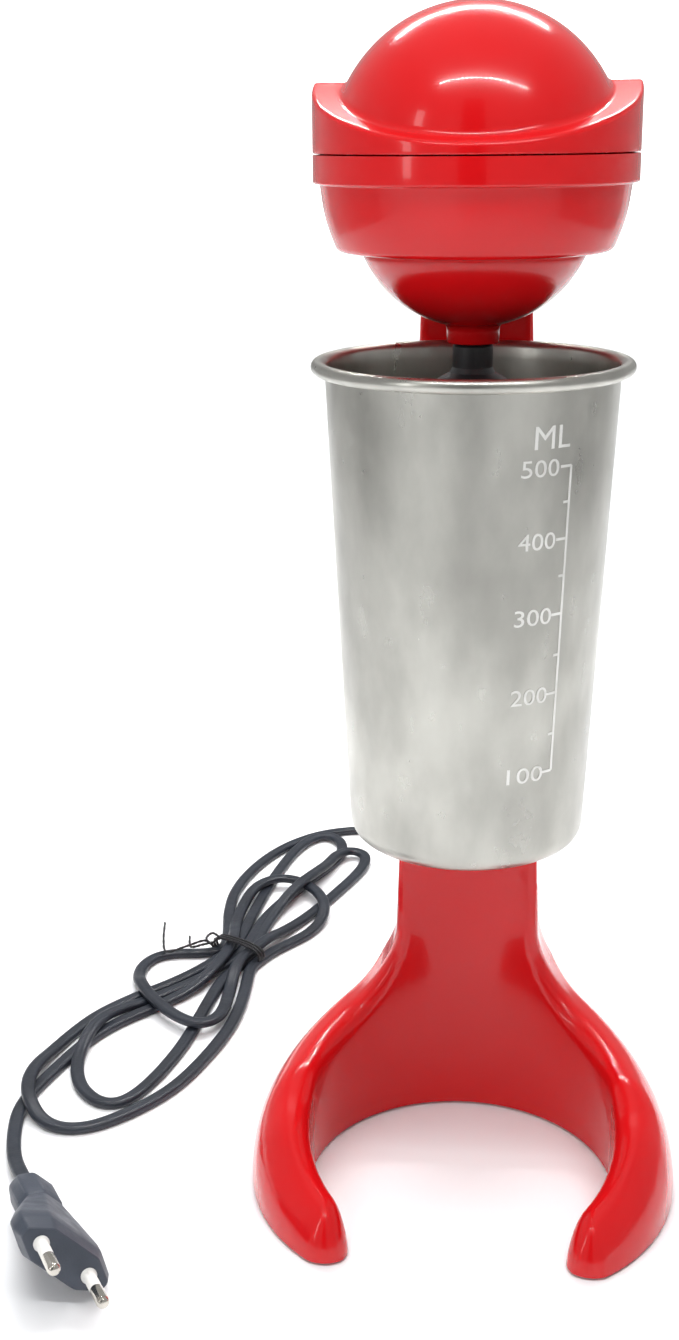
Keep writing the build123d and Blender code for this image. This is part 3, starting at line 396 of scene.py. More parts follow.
def rounded(corners, radii, steps=6):
    """Closed outline whose corners are eased by a curve that starts that far from each."""
    corners = [np.array(c, float) for c in corners]
    most = 0.49          # share of a side that one corner's curve may take
    out = []
    for i, here in enumerate(corners):
        r = radii[i]
        if not r:
            out.append(here)
            continue
        before, after = corners[i - 1] - here, corners[(i + 1) % len(corners)] - here
        p = here + before / np.linalg.norm(before) * min(r, most * np.linalg.norm(before))
        q = here + after / np.linalg.norm(after) * min(r, most * np.linalg.norm(after))
        for t in np.linspace(0, 1, steps):
            out.append((1 - t)**2 * p + 2 * t * (1 - t) * here + t**2 * q)
    return out


def arc(centre, radius, start, end, steps):
    """Points on a circle in an outline's plane; angles in degrees from the +r direction."""
    turns = [math.radians(a) for a in np.linspace(start, end, steps)]
    return [(centre[0] + radius * math.cos(a), centre[1] + radius * math.sin(a)) for a in turns]


def drop_scraps(bm, fewest=5):
    """Deletes islands with fewer faces than a closed solid needs."""
    bm.faces.ensure_lookup_table()
    seen = set()
    scraps = []
    for face in bm.faces:
        if face in seen:
            continue
        seen.add(face)
        island, to_visit = [face], [face]
        while to_visit:
            for edge in to_visit.pop().edges:
                for other in edge.link_faces:
                    if other not in seen:
                        seen.add(other)
                        island.append(other)
                        to_visit.append(other)
        if len(island) < fewest:
            scraps += island
    bmesh.ops.delete(bm, geom=scraps, context="FACES")


def tidy_mesh(data, sharp=35.0, weld=1e-6):
    """Joins doubled points, drops doubled faces and scraps, turns faces outward and shades them smooth
    up to an angle."""
    bm = bmesh.new()
    bm.from_mesh(data)
    bmesh.ops.remove_doubles(bm, verts=bm.verts, dist=weld)
    bmesh.ops.dissolve_degenerate(bm, edges=bm.edges, dist=weld / 2)
    crowded = [f for f in bm.faces if len(f.verts) > 4]
    bmesh.ops.triangulate(bm, faces=crowded)
    same_corners = {}
    for face in bm.faces:
        same_corners.setdefault(frozenset(face.verts), []).append(face)
    doubled = [f for group in same_corners.values() if len(group) > 1 for f in group]
    bmesh.ops.delete(bm, geom=doubled, context="FACES")
    drop_scraps(bm)
    bmesh.ops.recalc_face_normals(bm, faces=bm.faces)
    for face in bm.faces:
        face.smooth = True
    for edge in bm.edges:
        if len(edge.link_faces) == 2 and edge.calc_face_angle(0) > math.radians(sharp):
            edge.smooth = False
    bm.to_mesh(data)
    bm.free()
    data.update()


def joined(*parts):
    """One list of points and faces from several."""
    points, faces, start = [], [], 0
    for p, f in parts:
        points.append(np.asarray(p, float))
        faces += [tuple(int(v) + start for v in face) for face in f]
        start += len(p)
    return np.concatenate(points), faces


def loft(rings):
    """Closed solid through rings of points, with flat ends."""
    n = len(rings[0])
    points = [p for ring in rings for p in ring]
    faces = [(k * n + i, k * n + (i + 1) % n, (k + 1) * n + (i + 1) % n, (k + 1) * n + i)
             for k in range(len(rings) - 1) for i in range(n)]
    faces += [tuple(range(n))[::-1], tuple(range((len(rings) - 1) * n, len(rings) * n))]
    return points, faces


def pin(radius, x, z, y0, y1, segments=40):
    """Cylinder along y, for a cutter."""
    a = np.arange(segments) * 2 * np.pi / segments
    ring = np.stack([x + radius * np.cos(a), 0 * a, z + radius * np.sin(a)], 1)
    points = np.concatenate([ring + (0, y0, 0), ring + (0, y1, 0)])
    sides = [(i, (i + 1) % segments, segments + (i + 1) % segments, segments + i) for i in range(segments)]
    return points, sides + [tuple(range(segments))[::-1], tuple(range(segments, 2 * segments))]


def block(x0, x1, y0, y1, z0, z1):
    """Box, for a cutter."""
    points = [(x, y, z) for x in (x0, x1) for y in (y0, y1) for z in (z0, z1)]
    return np.array(points, float), BOX_FACES


def carve(data, cutter):
    """The mesh with a cutter taken out of it."""
    body = bpy.data.objects.new("carved", data)
    knife_mesh = mesh_of("knife", *cutter)
    tidy_mesh(knife_mesh)
    knife = bpy.data.objects.new("knife", knife_mesh)
    scene.collection.objects.link(body)
    scene.collection.objects.link(knife)
    tool = body.modifiers.new("cut", "BOOLEAN")
    tool.operation = "DIFFERENCE"
    tool.solver = "EXACT"
    tool.object = knife
    made = bpy.data.meshes.new_from_object(body.evaluated_get(bpy.context.evaluated_depsgraph_get()))
    bpy.data.objects.remove(body)
    bpy.data.objects.remove(knife)
    made.name = data.name
    return made


# ---------------------------------------------------------------- outline of the lower head
SEAM_Z = 326.9                     # underside of the upper head
LOWER_TOP = 326.75                 # top of the lower head, a hair below it
CAP_Z, CAP_R = 313.8, 34.0         # the round cap under the bowl
COLLAR_R, COLLAR_FOOT = 7.4, 275.6
LEDGE_R = 30.8
BAND_R = 44.6


def lower_head_outline(grow=0.0, top=LOWER_TOP):
    """Outer outline of the lower head, from the collar up to the seam."""
    foot = math.degrees(math.asin(COLLAR_R / CAP_R))
    ledge = math.degrees(math.asin(LEDGE_R / CAP_R))
    cap = [(r + grow, z) for r, z in arc((0, CAP_Z), CAP_R, -90 + foot + 1.6, -90 + ledge, 28)]
    collar = [(3.2, COLLAR_FOOT), (6.9, COLLAR_FOOT), (7.25, 275.75), (COLLAR_R, 276.1), (COLLAR_R, 279.0),
              (7.6, 280.2)]
    bowl = rounded([(LEDGE_R, 299.9), (LEDGE_R, 300.2), (38.1, 301.0), (41.4, 309.5), (42.7, 318.9),
                    (BAND_R, 319.0), (BAND_R, top)], [0, 0.3, 1.6, 6.0, 0.35, 0.8, 0.4])
    outside_collar = 8
    return [(r + grow if r > outside_collar else r, z)
            for r, z in collar + cap + [tuple(p) for p in bowl]]


# ---------------------------------------------------------------- stand
def make_stand():
    """The hollow stand, cut into its front shell and its back cover, with their openings."""
    low, high = (-72.3, -62.3, -4), (72.3, 77.3, 335)
    outer_cell, inner_cell = 1.5, 2.4
    parting_y, half_gap, foot_z = 58.0, 0.12, 1.0
    outer = surface(stand_field, low, high, outer_cell)
    inner = surface(lambda x, y, z: stand_field(x, y, z) + WALL, low, high, inner_cell)
    data = mesh_of("stand", *joined(outer, (inner[0], inner[1][:, ::-1])))
    halves = []
    for name, side in (("stand_shell", 1), ("stand_back_cover", -1)):
        bm = bmesh.new()
        bm.from_mesh(data)
        cut(bm, (0, 0, foot_z), (0, 0, -1))
        cut(bm, (0, parting_y - half_gap * side, 0), (0, side, 0))
        half = bpy.data.meshes.new(name)
        bm.to_mesh(half)
        bm.free()
        halves.append(half)
    clear_top, axis_r, clearance = 345.0, 0.01, 0.05
    head = lower_head_outline(clearance, clear_top)
    head_form = revolve([(axis_r, COLLAR_FOOT)] + head[1:] + [(axis_r, clear_top)], 128)
    front = carve(halves[0], joined(head_form))
    front = carve(front, block(-9.5, 9.5, 44, 62, 254.7, 264.3))          # for the cup's clip
    screws = [(-11.0, 30.0), (11.0, 30.0), (0.0, 110.0), (0.0, 200.0)]
    screw_hole_r, cord_hole_r = 3.2, 4.6
    cutters = [pin(screw_hole_r, x, z, 61.0, 90.0) for x, z in screws]
    cutters += [pin(cord_hole_r, 0, CORD_EXIT_Z, 57, 90, 64)]
    back = carve(halves[1], joined(*cutters))
    back = carve(back, block(-6.45, 6.45, 57, 80, 273.55, 292.45))        # for the switch
    for mesh in (front, back):
        tidy_mesh(mesh)
    add_piece("stand_front", front, RED, "root", "red_plastic", "stand_shell")
    add_piece("stand_cover", back, RED, "root", "red_plastic", "stand_back_cover")


make_stand()


# ---------------------------------------------------------------- head
DOME_R, DOME_Z, DOME_INSIDE_R = 40.1, 326.0, 37.9
RIDGE_Y, RIDGE_Z = 2.0, 345.4
CROWN_FRONT = (62.0, 324.6)        # how far forward of the ridge the front slope comes down, and its height
CROWN_BACK = (58.0, 325.3)         # the same backward


def crown_height(y):
    """Height of the crown's roof: two slopes with a rounded ridge."""
    front = RIDGE_Z + (y - RIDGE_Y) * (RIDGE_Z - CROWN_FRONT[1]) / CROWN_FRONT[0]
    back = RIDGE_Z - (y - RIDGE_Y) * (RIDGE_Z - CROWN_BACK[1]) / CROWN_BACK[0]
    return -smax(-front, -back, 1.9)


def bend(p, corner, q, first):
    """Rounded turn from near p to q, pulled toward the corner."""
    return [tuple((1 - t)**2 * p + 2 * t * (1 - t) * corner + t**2 * q) for t in np.linspace(first, 1, 8)]


def make_lower_head():
    """The bowl under the seam, with its round cap and collar."""
    outline = lower_head_outline()
    inside = [(42.4, LOWER_TOP), (42.4, 321.2), (40.6, 321.2), (39.2, 309.8), (36.6, 303.4), (28.6, 303.2)]
    inside += arc((0, CAP_Z), CAP_R - WALL, -90 + 63.5, -90 + 11, 20) + [(5.0, 282.4), (3.2, 279.0)]
    lower = mesh_of("head_lower", *revolve(outline + inside, 256))
    tidy_mesh(lower, 50)
    add_piece("head_lower", lower, RED, "root", "red_plastic", "head_lower_shell")


def dome_arc(radius, start, end, steps):
    """Points on the dome, or on its inside, between two angles up from the level."""
    return [(radius * math.cos(t), DOME_Z + radius * math.sin(t)) for t in np.linspace(start, end, steps)]


def crown_section(c):
    """Outline of the upper head, from the top of the dome round to its inside, on the side where
    y is c times the radius."""
    widest, ease, rim_r = 40.05, 2.2, 1.3
    reach = np.linspace(30, widest, 400)
    gap = DOME_Z + np.sqrt(DOME_R**2 - reach**2) - crown_height(reach * c)
    meet = float(np.interp(0, -gap, reach)) if gap[-1] < 0 else widest
    dome = dome_arc(DOME_R, math.pi / 2, math.acos(min(1, meet / DOME_R)) + ease / DOME_R, 44)
    after = meet + 1.3
    blend = bend(np.array(dome[-1]), np.array((meet, crown_height(meet * c))),
                 np.array((after, crown_height(after * c))), 0.12)
    edge = BAND_R - rim_r
    roof = [(s, crown_height(s * c)) for s in np.linspace(meet + 1.5, edge, 6)]
    rim_z = crown_height(BAND_R * c)
    rim = bend(np.array((edge, crown_height(edge * c))), np.array((BAND_R, rim_z)),
               np.array((BAND_R, rim_z - rim_r)), 0.15)
    band = [(BAND_R, z) for z in np.linspace(rim[-1][1], SEAM_Z + 0.5, 6)[1:]]
    foot = [(BAND_R - 0.1, SEAM_Z + 0.12), (BAND_R - 0.4, SEAM_Z), (BAND_R - WALL, SEAM_Z)]
    low_roof = crown_height((BAND_R - WALL) * c) - WALL
    meet_z = max(crown_height(DOME_INSIDE_R * c) - WALL, SEAM_Z + 0.4)
    up = [(BAND_R - WALL, max(low_roof, SEAM_Z + 0.3)), (DOME_INSIDE_R - 0.02, meet_z)]
    low = math.asin(min(0.99, max(0.02, (meet_z - DOME_Z) / DOME_INSIDE_R)))
    hollow = dome_arc(DOME_INSIDE_R, low, math.pi / 2, 20)
    return dome + blend + roof + rim + band + foot + up + hollow


def make_upper_head():
    """The dome and its crown, whose outline changes on the way round."""
    segments = 288
    rows = []
    for i in range(segments):
        a = 2 * math.pi * i / segments
        c = -math.cos(a)
        rows.append([(r * math.sin(a), r * c, z) for r, z in crown_section(c)])
    n = len(rows[0])
    faces = [(i * n + j, ((i + 1) % segments) * n + j, ((i + 1) % segments) * n + j + 1, i * n + j + 1)
             for i in range(segments) for j in range(n - 1)]
    upper = mesh_of("head_upper", np.array(rows).reshape(-1, 3), faces)
    tidy_mesh(upper, 50, 2e-6)
    add_piece("head_upper", upper, RED, "root", "red_plastic", "head_upper_shell")


make_lower_head()
make_upper_head()


# ---------------------------------------------------------------- cup
CUP_FOOT_Z, CUP_FOOT_R = 127.4, 35.0
CUP_LIP_Z, CUP_LIP_R = 269.3, 42.0
CUP_WALL = 0.6
STEEL = material("steel_brushed", (0.37, 0.365, 0.335), 0.33, metallic=1.0, tint=(0.56, 0.555, 0.51),
                 tint_scale=30.0, bump=0.16, bump_scale=110.0, rough_spread=0.07,
                 stretch=(1.6, 1.6, 0.8))
SCALE_STEEL = material("steel_scale", (0.86, 0.86, 0.83), 0.5, metallic=0.7, tint=(0.7, 0.7, 0.67),
                       tint_scale=90.0, bump=0.2, bump_scale=500.0, rough_spread=0.06)


def cup_radius(z):
    """Outer radius of the tapered side at a height."""
    return CUP_FOOT_R + (z - CUP_FOOT_Z) * (CUP_LIP_R - CUP_FOOT_R) / (CUP_LIP_Z - CUP_FOOT_Z)


def wrap(points, middle_azimuth, middle_z, proud):
    """Flat drawing (across, up, out) in mm laid on the cup's side, standing proud of it. Azimuth is in
    degrees from the front toward the right."""
    sunk = 0.15
    placed = []
    for u, v, w in points:
        z = middle_z + v
        a = math.radians(middle_azimuth) + u / cup_radius(z)
        r = cup_radius(z) - sunk + (proud + sunk) * w
        placed.append((r * math.sin(a), -r * math.cos(a), z))
    return placed


def bar(width, height):
    """Flat drawing of a tick, its middle at the origin."""
    points = [(x * width / 2, z * height / 2, w) for x in (-1, 1) for z in (-1, 1) for w in (0, 1)]
    return points, BOX_FACES


def lettering(text, width, height):
    """Characters as a solid drawing of the given size, its middle at the origin."""
    curve = bpy.data.curves.new("lettering", "FONT")
    curve.body = text
    curve.extrude = 0.5
    curve.resolution_u = 4
    holder = bpy.data.objects.new("lettering", curve)
    scene.collection.objects.link(holder)
    flat = bpy.data.meshes.new_from_object(holder.evaluated_get(bpy.context.evaluated_depsgraph_get()))
    bpy.data.objects.remove(holder)
    points = np.array([v.co[:] for v in flat.vertices])
    faces = [tuple(p.vertices) for p in flat.polygons]
    bpy.data.meshes.remove(flat)
    low, high = points.min(0), points.max(0)
    points = (points - (low + high) / 2) / (high - low)
    return points * (width, height, 1) + (0, 0, 0.5), faces


def graduations():
    """The scale on the cup: an upright line, ticks, numbers and the unit."""
    line_azimuth, number_azimuth, unit_azimuth = 42.1, 28.2, 32.9
    marks = ((246.7, "500"), (236.8, ""), (226.5, "400"), (216.0, ""), (205.0, "300"), (193.0, ""),
             (181.7, "200"), (169.3, ""), (157.9, "100"))
    parts = []
    line_w, numbered_tick, plain_tick = 0.75, 3.6, 2.0
    rings = [[(-line_w / 2, v, 0), (line_w / 2, v, 0), (line_w / 2, v, 1), (-line_w / 2, v, 1)]
             for v in np.linspace(0, marks[0][0] - marks[-1][0], 13)]
    points, faces = loft(rings)
    parts.append((wrap(points, line_azimuth, marks[-1][0], 0.16), faces))
    for z, text in marks:
        long = numbered_tick if text else plain_tick
        points, faces = bar(long, line_w)
        parts.append((wrap([(u - long / 2, v, w) for u, v, w in points], line_azimuth, z, 0.18), faces))
        if text:
            points, faces = lettering(text, 11.4, 4.7)
            parts.append((wrap(points, number_azimuth, z, 0.2), faces))
    points, faces = lettering("ML", 11.2, 6.2)
    parts.append((wrap(points, unit_azimuth, 255.0, 0.2), faces))
    return joined(*parts)


def make_cup():
    """The cup with its rolled rim, and its scale as faces of a second colour."""
    bead_r, tube, corner, flat_r = 43.86, 2.0, 6.0, 24
    outside = rounded([(0, CUP_FOOT_Z), (flat_r, CUP_FOOT_Z), (CUP_FOOT_R, CUP_FOOT_Z), (41.4, 257.1)],
                      [0, 0, corner, 0], 14)
    side = [(cup_radius(z), z) for z in np.linspace(CUP_FOOT_Z + 16, 266.5, 16)]
    bead = arc((bead_r, CUP_LIP_Z), tube, 205, 492, 34)
    inside = [(41.75, 270.3), (41.42, 269.2)]
    inside += [(cup_radius(z) - CUP_WALL, z) for z in np.linspace(266.0, 140, 14)]
    floor = rounded([(CUP_FOOT_R - CUP_WALL + 0.4, 136.5), (CUP_FOOT_R - CUP_WALL, CUP_FOOT_Z + CUP_WALL),
                     (flat_r, 128.0), (0, 128.0)], [0, 5.4, 0, 0], 12)
    data = mesh_of("cup_wall", *revolve(outside[:-1] + side + bead + inside + floor, 256))
    tidy_mesh(data, 60)
    marks = mesh_of("cup_marks", *graduations())
    bm = bmesh.new()
    bm.from_mesh(marks)
    bmesh.ops.remove_doubles(bm, verts=bm.verts, dist=2e-6)
    bmesh.ops.dissolve_degenerate(bm, edges=bm.edges, dist=1e-6)
    drop_scraps(bm)
    bmesh.ops.recalc_face_normals(bm, faces=bm.faces)
    bm.to_mesh(marks)
    bm.clear()
    bm.from_mesh(data)
    wall_faces = len(bm.faces)
    bm.from_mesh(marks)
    for face in list(bm.faces)[wall_faces:]:
        face.material_index = 1
    bm.to_mesh(data)
    bm.free()
    bpy.data.meshes.remove(marks)
    add_piece("steel_cup", data, STEEL, "cup", "steel_cup", "cup")
    data.materials.append(SCALE_STEEL)


make_cup()


# ---------------------------------------------------------------- plug
PLUG_FACE = np.array((-114.3, -84.0, 16.2))          # middle of the face, in mm in the frame's own axes
PIN_WAY = np.array((0.4519, -0.8736, 0.1807))
WIDE_WAY = np.array((0.6755, 0.2028, -0.7089))
THICK_WAY = np.array((0.5826, 0.4424, 0.6818))
PLUG_BLACK = material("plug_black", (0.036, 0.044, 0.062), 0.48, tint=(0.05, 0.059, 0.08), tint_scale=70.0,
                      bump=0.3, bump_scale=1500.0, rough_spread=0.08)
SLEEVE_WHITE = material("sleeve_white", (0.82, 0.81, 0.78), 0.4, tint=(0.72, 0.71, 0.68), tint_scale=120.0,
                        bump=0.1, bump_scale=700.0, rough_spread=0.05)
NICKEL = material("pin_nickel", (0.66, 0.63, 0.57), 0.2, metallic=1.0, tint=(0.5, 0.47, 0.42),
                  tint_scale=160.0, bump=0.15, bump_scale=900.0, rough_spread=0.08)
PIN_APART = 18.6
SLEEVE_PROFILE = [(2.45, 0.4), (2.45, -0.5), (2.05, -1.0), (1.95, -1.4), (1.95, -9.6), (1.85, -10.0)]
TIP_PROFILE = [(1.5, -0.2), (1.5, -9.9), (2.0, -10.0), (2.0, -17.2), (1.85, -18.0), (1.45, -18.7),
               (0.75, -19.0)]


def from_plug(points):
    """Points measured from the drink axis, of (wide, thick, back) in mm from the middle of the face."""
    points = np.asarray(points, float)
    placed = PLUG_FACE + points[:, :1] * WIDE_WAY + points[:, 1:2] * THICK_WAY - points[:, 2:] * PIN_WAY
    return placed - (0, DRINK_Y, 0)


def eight_sided(width, thick, cut_wide, cut_thick, back):
    """Ring of an eight-sided section with eased corners, at a distance back from the plug's face."""
    ease = 1.0
    w, t = width / 2, thick / 2
    corners = [(w, -t + cut_thick), (w, t - cut_thick), (w - cut_wide, t), (-w + cut_wide, t),
               (-w, t - cut_thick), (-w, -t + cut_thick), (-w + cut_wide, -t), (w - cut_wide, -t)]
    return [(p[0], p[1], back) for p in rounded(corners, [ease] * 8, 5)]


def make_plug():
    """The plug's body from its face back to the grip, then both pins' sleeves and both tips."""
    sections = ((31.2, 10.8, 7.2, 4.0, 0.0), (31.8, 11.4, 7.3, 4.1, 0.3), (34.2, 13.6, 7.6, 4.6, 4.6),
                (34.6, 13.9, 7.7, 4.7, 5.2), (34.6, 13.9, 7.7, 4.7, 9.5), (34.0, 13.7, 7.5, 4.6, 10.6),
                (25.6, 12.7, 6.0, 4.0, 22.0), (15.6, 11.6, 4.0, 3.6, 33.6), (14.9, 11.2, 3.9, 3.5, 34.8),
                (15.2, 11.4, 3.9, 3.5, 35.5), (16.0, 12.2, 4.2, 3.8, 36.4), (16.0, 12.2, 4.2, 3.8, 49.6),
                (15.2, 11.4, 3.9, 3.5, 51.4), (13.6, 9.8, 3.4, 3.0, 52.2))
    points, faces = loft([eight_sided(*section) for section in sections])
    data = mesh_of("plug_shell", from_plug(points), faces)
    tidy_mesh(data, 24)
    add_piece("plug_shell", data, PLUG_BLACK, "root", "plug_black", "plug_body")
    turn = [2 * math.pi * i / 40 for i in range(40)]
    for name, paint, slot, node, profile in (
            ("plug_pin_sleeves", SLEEVE_WHITE, "sleeve_white", "plug_sleeves", SLEEVE_PROFILE),
            ("plug_pin_tips", NICKEL, "nickel", "plug_pins", TIP_PROFILE)):
        parts = []
        for side in (-PIN_APART / 2, PIN_APART / 2):
            rings = [[(side + r * math.cos(a), r * math.sin(a), back) for a in turn] for r, back in profile]
            points, faces = loft(rings)
            parts.append((from_plug(points), faces))
        data = mesh_of(name, *joined(*parts))
        tidy_mesh(data, 40)
        add_piece(name, data, paint, "root", slot, node)


make_plug()


# ---------------------------------------------------------------- wire tie and cord guard
def smooth_path(points, per_span):
    """Rounded path through given points."""
    p = np.array([points[0]] + list(points) + [points[-1]], float)
    out = []
    for a, b, c, d in zip(p, p[1:], p[2:], p[3:]):
        for t in np.linspace(0, 1, per_span, endpoint=False):
            bent, twisted = 2 * a - 5 * b + 4 * c - d, 3 * b - a - 3 * c + d
            out.append(0.5 * (2 * b + (c - a) * t + bent * t**2 + twisted * t**3))
    return out + [p[-1]]


def wire(points, radius, ribs, segments=10):
    """Round tube along points; ribs is how far its surface swells and dips like twisted strands."""
    strands, twist = 2, 0.9          # twist in radians for each point of the path
    points = np.array(points)
    along = np.gradient(points, axis=0)
    along /= np.linalg.norm(along, axis=1)[:, None]
    rings = []
    side = np.cross(along[0], (0.3, 0.2, 0.93))
    for i, (p, t) in enumerate(zip(points, along)):
        side = side - t * (side @ t)
        side /= np.linalg.norm(side)
        other = np.cross(t, side)
        ring = []
        for k in range(segments):
            a = 2 * math.pi * k / segments
            r = radius * (1 + ribs * math.cos(strands * (a - twist * i)))
            ring.append(tuple(p + r * (math.cos(a) * side + math.sin(a) * other)))
        rings.append(ring)
    return loft(rings)


TIE_BLACK = material("tie_black", (0.01, 0.01, 0.012), 0.45, tint=(0.02, 0.02, 0.023), tint_scale=150.0,
                     bump=0.2, bump_scale=1200.0, rough_spread=0.08)


def make_tie():
    """Three turns of twisted wire round the bundle, its two free ends and the knot between them."""
    middle, across, along = np.array((-98.0, 154.0)), np.array((0.86, -0.51)), np.array((0.51, 0.86))
    turns, per_turn, pitch, half_w, low, high = 3, 20, 1.5, 12.6, 0.75, 8.0
    path = []
    for i in range(turns * per_turn + 1):
        a = 2 * math.pi * i / per_turn + math.pi
        spread = pitch * (a - math.pi) / (2 * math.pi) - 2.2
        u = half_w * math.copysign(abs(math.cos(a))**0.7, math.cos(a))
        v = math.copysign(abs(math.sin(a))**0.8, math.sin(a))
        x, y = middle + across * u + along * spread
        path.append((x, y, (low + high) / 2 + (high - low) / 2 * v))
    first = [(-109.2, 155.4, 5.0), (-112.0, 152.4, 8.6), (-118.5, 148.2, 8.0), (-127.0, 146.8, 5.6),
             (-130.8, 158.5, 5.0), (-133.6, 175.6, 4.6)]
    second = [(-109.0, 156.0, 6.2), (-112.8, 150.8, 7.4), (-117.5, 150.3, 6.6), (-119.6, 159.5, 6.6)]
    knot = [(-106.4, 157.8, 7.6), (-109.6, 158.4, 9.2), (-111.6, 155.2, 8.4), (-109.4, 152.6, 7.2),
            (-106.8, 154.6, 8.8)]
    parts = [wire(path, 0.55, 0.12)] + [wire(smooth_path(p, 10), 0.5, 0.16) for p in (first, second, knot)]
    data = mesh_of("wire_tie", *joined(*parts))
    tidy_mesh(data, 60, 1e-8)
    add_piece("wire_tie", data, TIE_BLACK, "root", "black_tie", "cord_tie")


make_tie()


def make_cord_guard():
    """Ribbed rubber guard where the cord leaves the column, turned about the cord."""
    back_y = COLUMN_BACK[1][0]
    profile = [(0.0, -4.1), (6.2, -4.1), (6.2, -2.7), (4.5, -2.7), (4.5, 0.0), (5.6, 0.0), (5.7, 0.5),
               (5.6, 1.5), (4.6, 2.2)]
    ribs, first_rib, rib_pitch, first_r, taper = 7, 2.6, 3.0, 4.55, 1.45
    for i in range(ribs):
        start = first_rib + i * rib_pitch
        r = first_r - taper * i / (ribs - 1)
        profile += [(r, start), (r, start + 1.8), (r - 0.7, start + 2.0), (r - 0.75, start + 2.8)]
    profile += [(2.75, 23.4), (2.6, 24.0), (0.0, 24.0)]
    points, faces = revolve(profile, 48)
    points = np.stack([points[:, 0], back_y + points[:, 2], CORD_EXIT_Z + points[:, 1]], 1)
    data = mesh_of("cord_guard", points, faces)
    tidy_mesh(data, 35)
    add_piece("cord_guard", data, CORD_BLACK, "root", "black_cord", "strain_relief")


make_cord_guard()


# ---------------------------------------------------------------- looks of the CAD's own pieces
LOOKS = {
    "black_plastic": material("plastic_black", (0.018, 0.018, 0.02), 0.38, tint=(0.03, 0.03, 0.032),
                              tint_scale=60.0, bump=0.2, bump_scale=1400.0, rough_spread=0.08),
    "black_gloss": material("plastic_gloss_black", (0.012, 0.012, 0.013), 0.16, coat=0.4,
                            tint=(0.02, 0.02, 0.021), tint_scale=50.0, bump=0.05, bump_scale=500.0,
                            rough_spread=0.05),
    "rubber": material("rubber_dark", (0.02, 0.02, 0.02), 0.7, tint=(0.035, 0.034, 0.033), tint_scale=90.0,
                       bump=0.4, bump_scale=1100.0, rough_spread=0.1),
    "zinc_steel": material("steel_zinc", (0.55, 0.56, 0.58), 0.3, metallic=1.0, tint=(0.42, 0.42, 0.42),
                           tint_scale=120.0, bump=0.2, bump_scale=900.0, rough_spread=0.1),
    "spring_steel": material("steel_spring", (0.38, 0.38, 0.39), 0.33, metallic=1.0, tint=(0.28, 0.29, 0.31),
                             tint_scale=70.0, bump=0.2, bump_scale=700.0, rough_spread=0.08,
                             stretch=(1, 1, 6)),
    "bronze": material("bronze_sintered", (0.42, 0.27, 0.13), 0.5, metallic=0.9, tint=(0.3, 0.2, 0.1),
                       tint_scale=200.0, bump=0.4, bump_scale=1500.0, rough_spread=0.1),
    "ferrite": material("ferrite_grey", (0.09, 0.09, 0.1), 0.6, tint=(0.14, 0.14, 0.15), tint_scale=140.0,
                        bump=0.3, bump_scale=1200.0, rough_spread=0.1),
    "carbon": material("carbon_dark", (0.03, 0.03, 0.03), 0.55, tint=(0.06, 0.06, 0.06), tint_scale=200.0,
                       bump=0.3, bump_scale=1500.0, rough_spread=0.1),
    "board": material("board_green", (0.03, 0.14, 0.05), 0.4, tint=(0.05, 0.19, 0.08), tint_scale=80.0,
                      bump=0.2, bump_scale=1500.0, rough_spread=0.08),
    "capacitor_yellow": material("capacitor_case", (0.65, 0.42, 0.04), 0.3, tint=(0.55, 0.34, 0.03),
                                 tint_scale=90.0, bump=0.1, bump_scale=600.0, rough_spread=0.06),
    "brass": material("brass_plain", (0.6, 0.45, 0.18), 0.3, metallic=1.0, tint=(0.45, 0.33, 0.13),
                      tint_scale=150.0, bump=0.15, bump_scale=900.0, rough_spread=0.08),
    "black_cord": CORD_BLACK,
    "lamination": material("iron_laminated", (0.2, 0.2, 0.21), 0.45, metallic=0.8, tint=(0.3, 0.3, 0.31),
                           tint_scale=60.0, bump=0.5, bump_scale=500.0, rough_spread=0.1,
                           stretch=(1, 1, 12)),
    "copper_wire": material("copper_enamelled", (0.42, 0.13, 0.04), 0.3, metallic=0.7, tint=(0.55, 0.2, 0.08),
                            tint_scale=160.0, bump=0.6, bump_scale=700.0, rough_spread=0.08,
                            stretch=(1, 1, 5)),
    "copper": material("copper_turned", (0.62, 0.3, 0.18), 0.28, metallic=1.0, tint=(0.5, 0.22, 0.12),
                       tint_scale=120.0, bump=0.2, bump_scale=900.0, rough_spread=0.08, stretch=(1, 1, 8)),
    "wire_insulation": material("insulation_red", (0.3, 0.03, 0.015), 0.45, tint=(0.22, 0.02, 0.012),
                                tint_scale=100.0, bump=0.1, bump_scale=900.0, rough_spread=0.06),
    "steel_rod": material("steel_bright", (0.6, 0.6, 0.6), 0.22, metallic=1.0, tint=(0.48, 0.48, 0.48),
                          tint_scale=90.0, bump=0.15, bump_scale=900.0, rough_spread=0.08, stretch=(1, 1, 5)),
}
EDGE_EASE = 0.0002          # metres
CRISP_ANGLE = 40            # degrees


def paint_nodes():
    """Gives every CAD node that is shown the look of its slot, and eases its crisp edges."""
    slots = {part["node"]: part["material_slot"] for part in frame["record"]["subparts"]}
    for name, node in nodes.items():
        if name in redrawn:
            continue
        node.data.materials.clear()
        node.data.materials.append(LOOKS[slots[name]])
        ease = node.modifiers.new("eased", "BEVEL")
        ease.width = EDGE_EASE
        ease.segments = 2
        ease.limit_method = "ANGLE"
        ease.angle_limit = math.radians(CRISP_ANGLE)
        ease.harden_normals = True


paint_nodes()


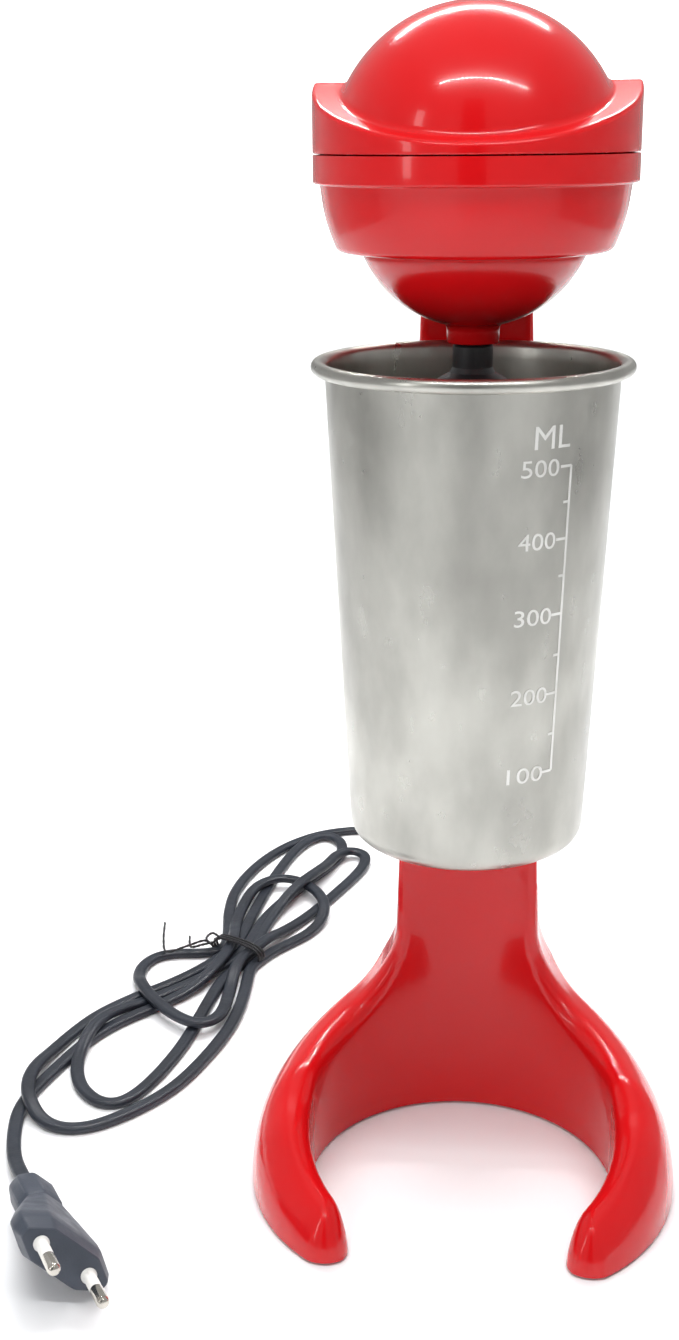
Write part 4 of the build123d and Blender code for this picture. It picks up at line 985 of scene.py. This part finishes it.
# ---------------------------------------------------------------- floor and light
def make_stage():
    """White floor under an even white sky."""
    bpy.ops.mesh.primitive_plane_add(size=8)
    floor = bpy.context.object
    floor.name = "floor"
    floor.data.materials.append(material("floor_white", (0.93, 0.935, 0.95), 0.7, tint=(0.91, 0.915, 0.93),
                                         tint_scale=2.0, specular=0.2))
    world = bpy.data.worlds.new("world")
    scene.world = world
    world.use_nodes = True
    world.node_tree.nodes["Background"].inputs["Color"].default_value = (1.0, 1.0, 1.0, 1)
    world.node_tree.nodes["Background"].inputs["Strength"].default_value = 0.42


def area_light(name, place, target, size, power, reflected):
    """Rectangular lamp aimed at a target; metres and watts."""
    data = bpy.data.lights.new(name, "AREA")
    data.shape = "RECTANGLE"
    data.size, data.size_y = size
    data.energy = power
    lamp = bpy.data.objects.new(name, data)
    lamp.location = place
    lamp.rotation_euler = (Vector(target) - Vector(place)).to_track_quat("-Z", "Y").to_euler()
    lamp.visible_glossy = reflected
    scene.collection.objects.link(lamp)


def plain_material(name, base, strength):
    """Even matt colour, which shines when its strength is above 0."""
    made = bpy.data.materials.new(name)
    made.use_nodes = True
    shader = made.node_tree.nodes["Principled BSDF"]
    shader.inputs["Base Color"].default_value = (*base, 1)
    shader.inputs["Roughness"].default_value = 0.9
    shader.inputs["Emission Color"].default_value = (1, 1, 1, 1)
    shader.inputs["Emission Strength"].default_value = strength
    return made


def light_strip(name, x0, x1, y, z, count, strength):
    """Row of small bright squares, facing down, as on a lit studio box."""
    half = 0.005
    square = ((-half, -half), (-half, half), (half, half), (half, -half))
    points, faces = [], []
    for i in range(count):
        x = x0 + (x1 - x0) * i / (count - 1)
        points += [(x + dx, y + dy, z) for dx, dy in square]
        faces.append(tuple(range(4 * i, 4 * i + 4)))
    data = bpy.data.meshes.new(name)
    data.from_pydata(points, [], faces)
    data.materials.append(plain_material(name, (0.8, 0.8, 0.8), strength))
    strip = bpy.data.objects.new(name, data)
    strip.visible_camera = False
    scene.collection.objects.link(strip)


def card(name, start, end, low, high, grey, strength=0.0, reflected=True):
    """Upright studio card from start to end on the floor plan, in metres. The camera sees only a card
    that shines."""
    data = bpy.data.meshes.new(name)
    data.from_pydata([(*start, low), (*end, low), (*end, high), (*start, high)], [], [(0, 1, 2, 3)])
    data.materials.append(plain_material(name, (grey, grey, grey), strength))
    flat = bpy.data.objects.new(name, data)
    flat.visible_glossy = reflected
    flat.visible_camera = strength > 0
    scene.collection.objects.link(flat)


make_stage()
light_strip("strip_back", -0.37, 0.27, 0.487, 0.826, 30, 500.0)
light_strip("strip_front", -0.25, 0.39, -0.338, 0.826, 21, 420.0)
card("backdrop", (-4, 3.5), (4, 3.5), -0.1, 3, 0.9, 1.1, False)
card("dark_front", (-0.20, -1.1), (0.16, -1.1), 0, 1.3, 0.03)
card("dark_right", (0.75, -0.35), (0.75, 0.9), 0, 0.9, 0.32)
card("dark_left", (-0.75, -0.25), (-0.75, 0.9), 0, 0.9, 0.36)
area_light("far_floor", (0, 1.9, 2.0), (0, 1.9, 0), (2.6, 1.6), 26.0, False)
area_light("overhead", (0, -0.1, 1.5), (0, 0, 0), (1.4, 1.2), 9.0, False)
area_light("front", (-0.35, -1.3, 0.75), (0, 0, 0.2), (0.5, 0.5), 4.2, False)
area_light("left_box", (-0.75, -0.75, 0.55), (0, 0, 0.2), (0.12, 0.7), 1.2, True)
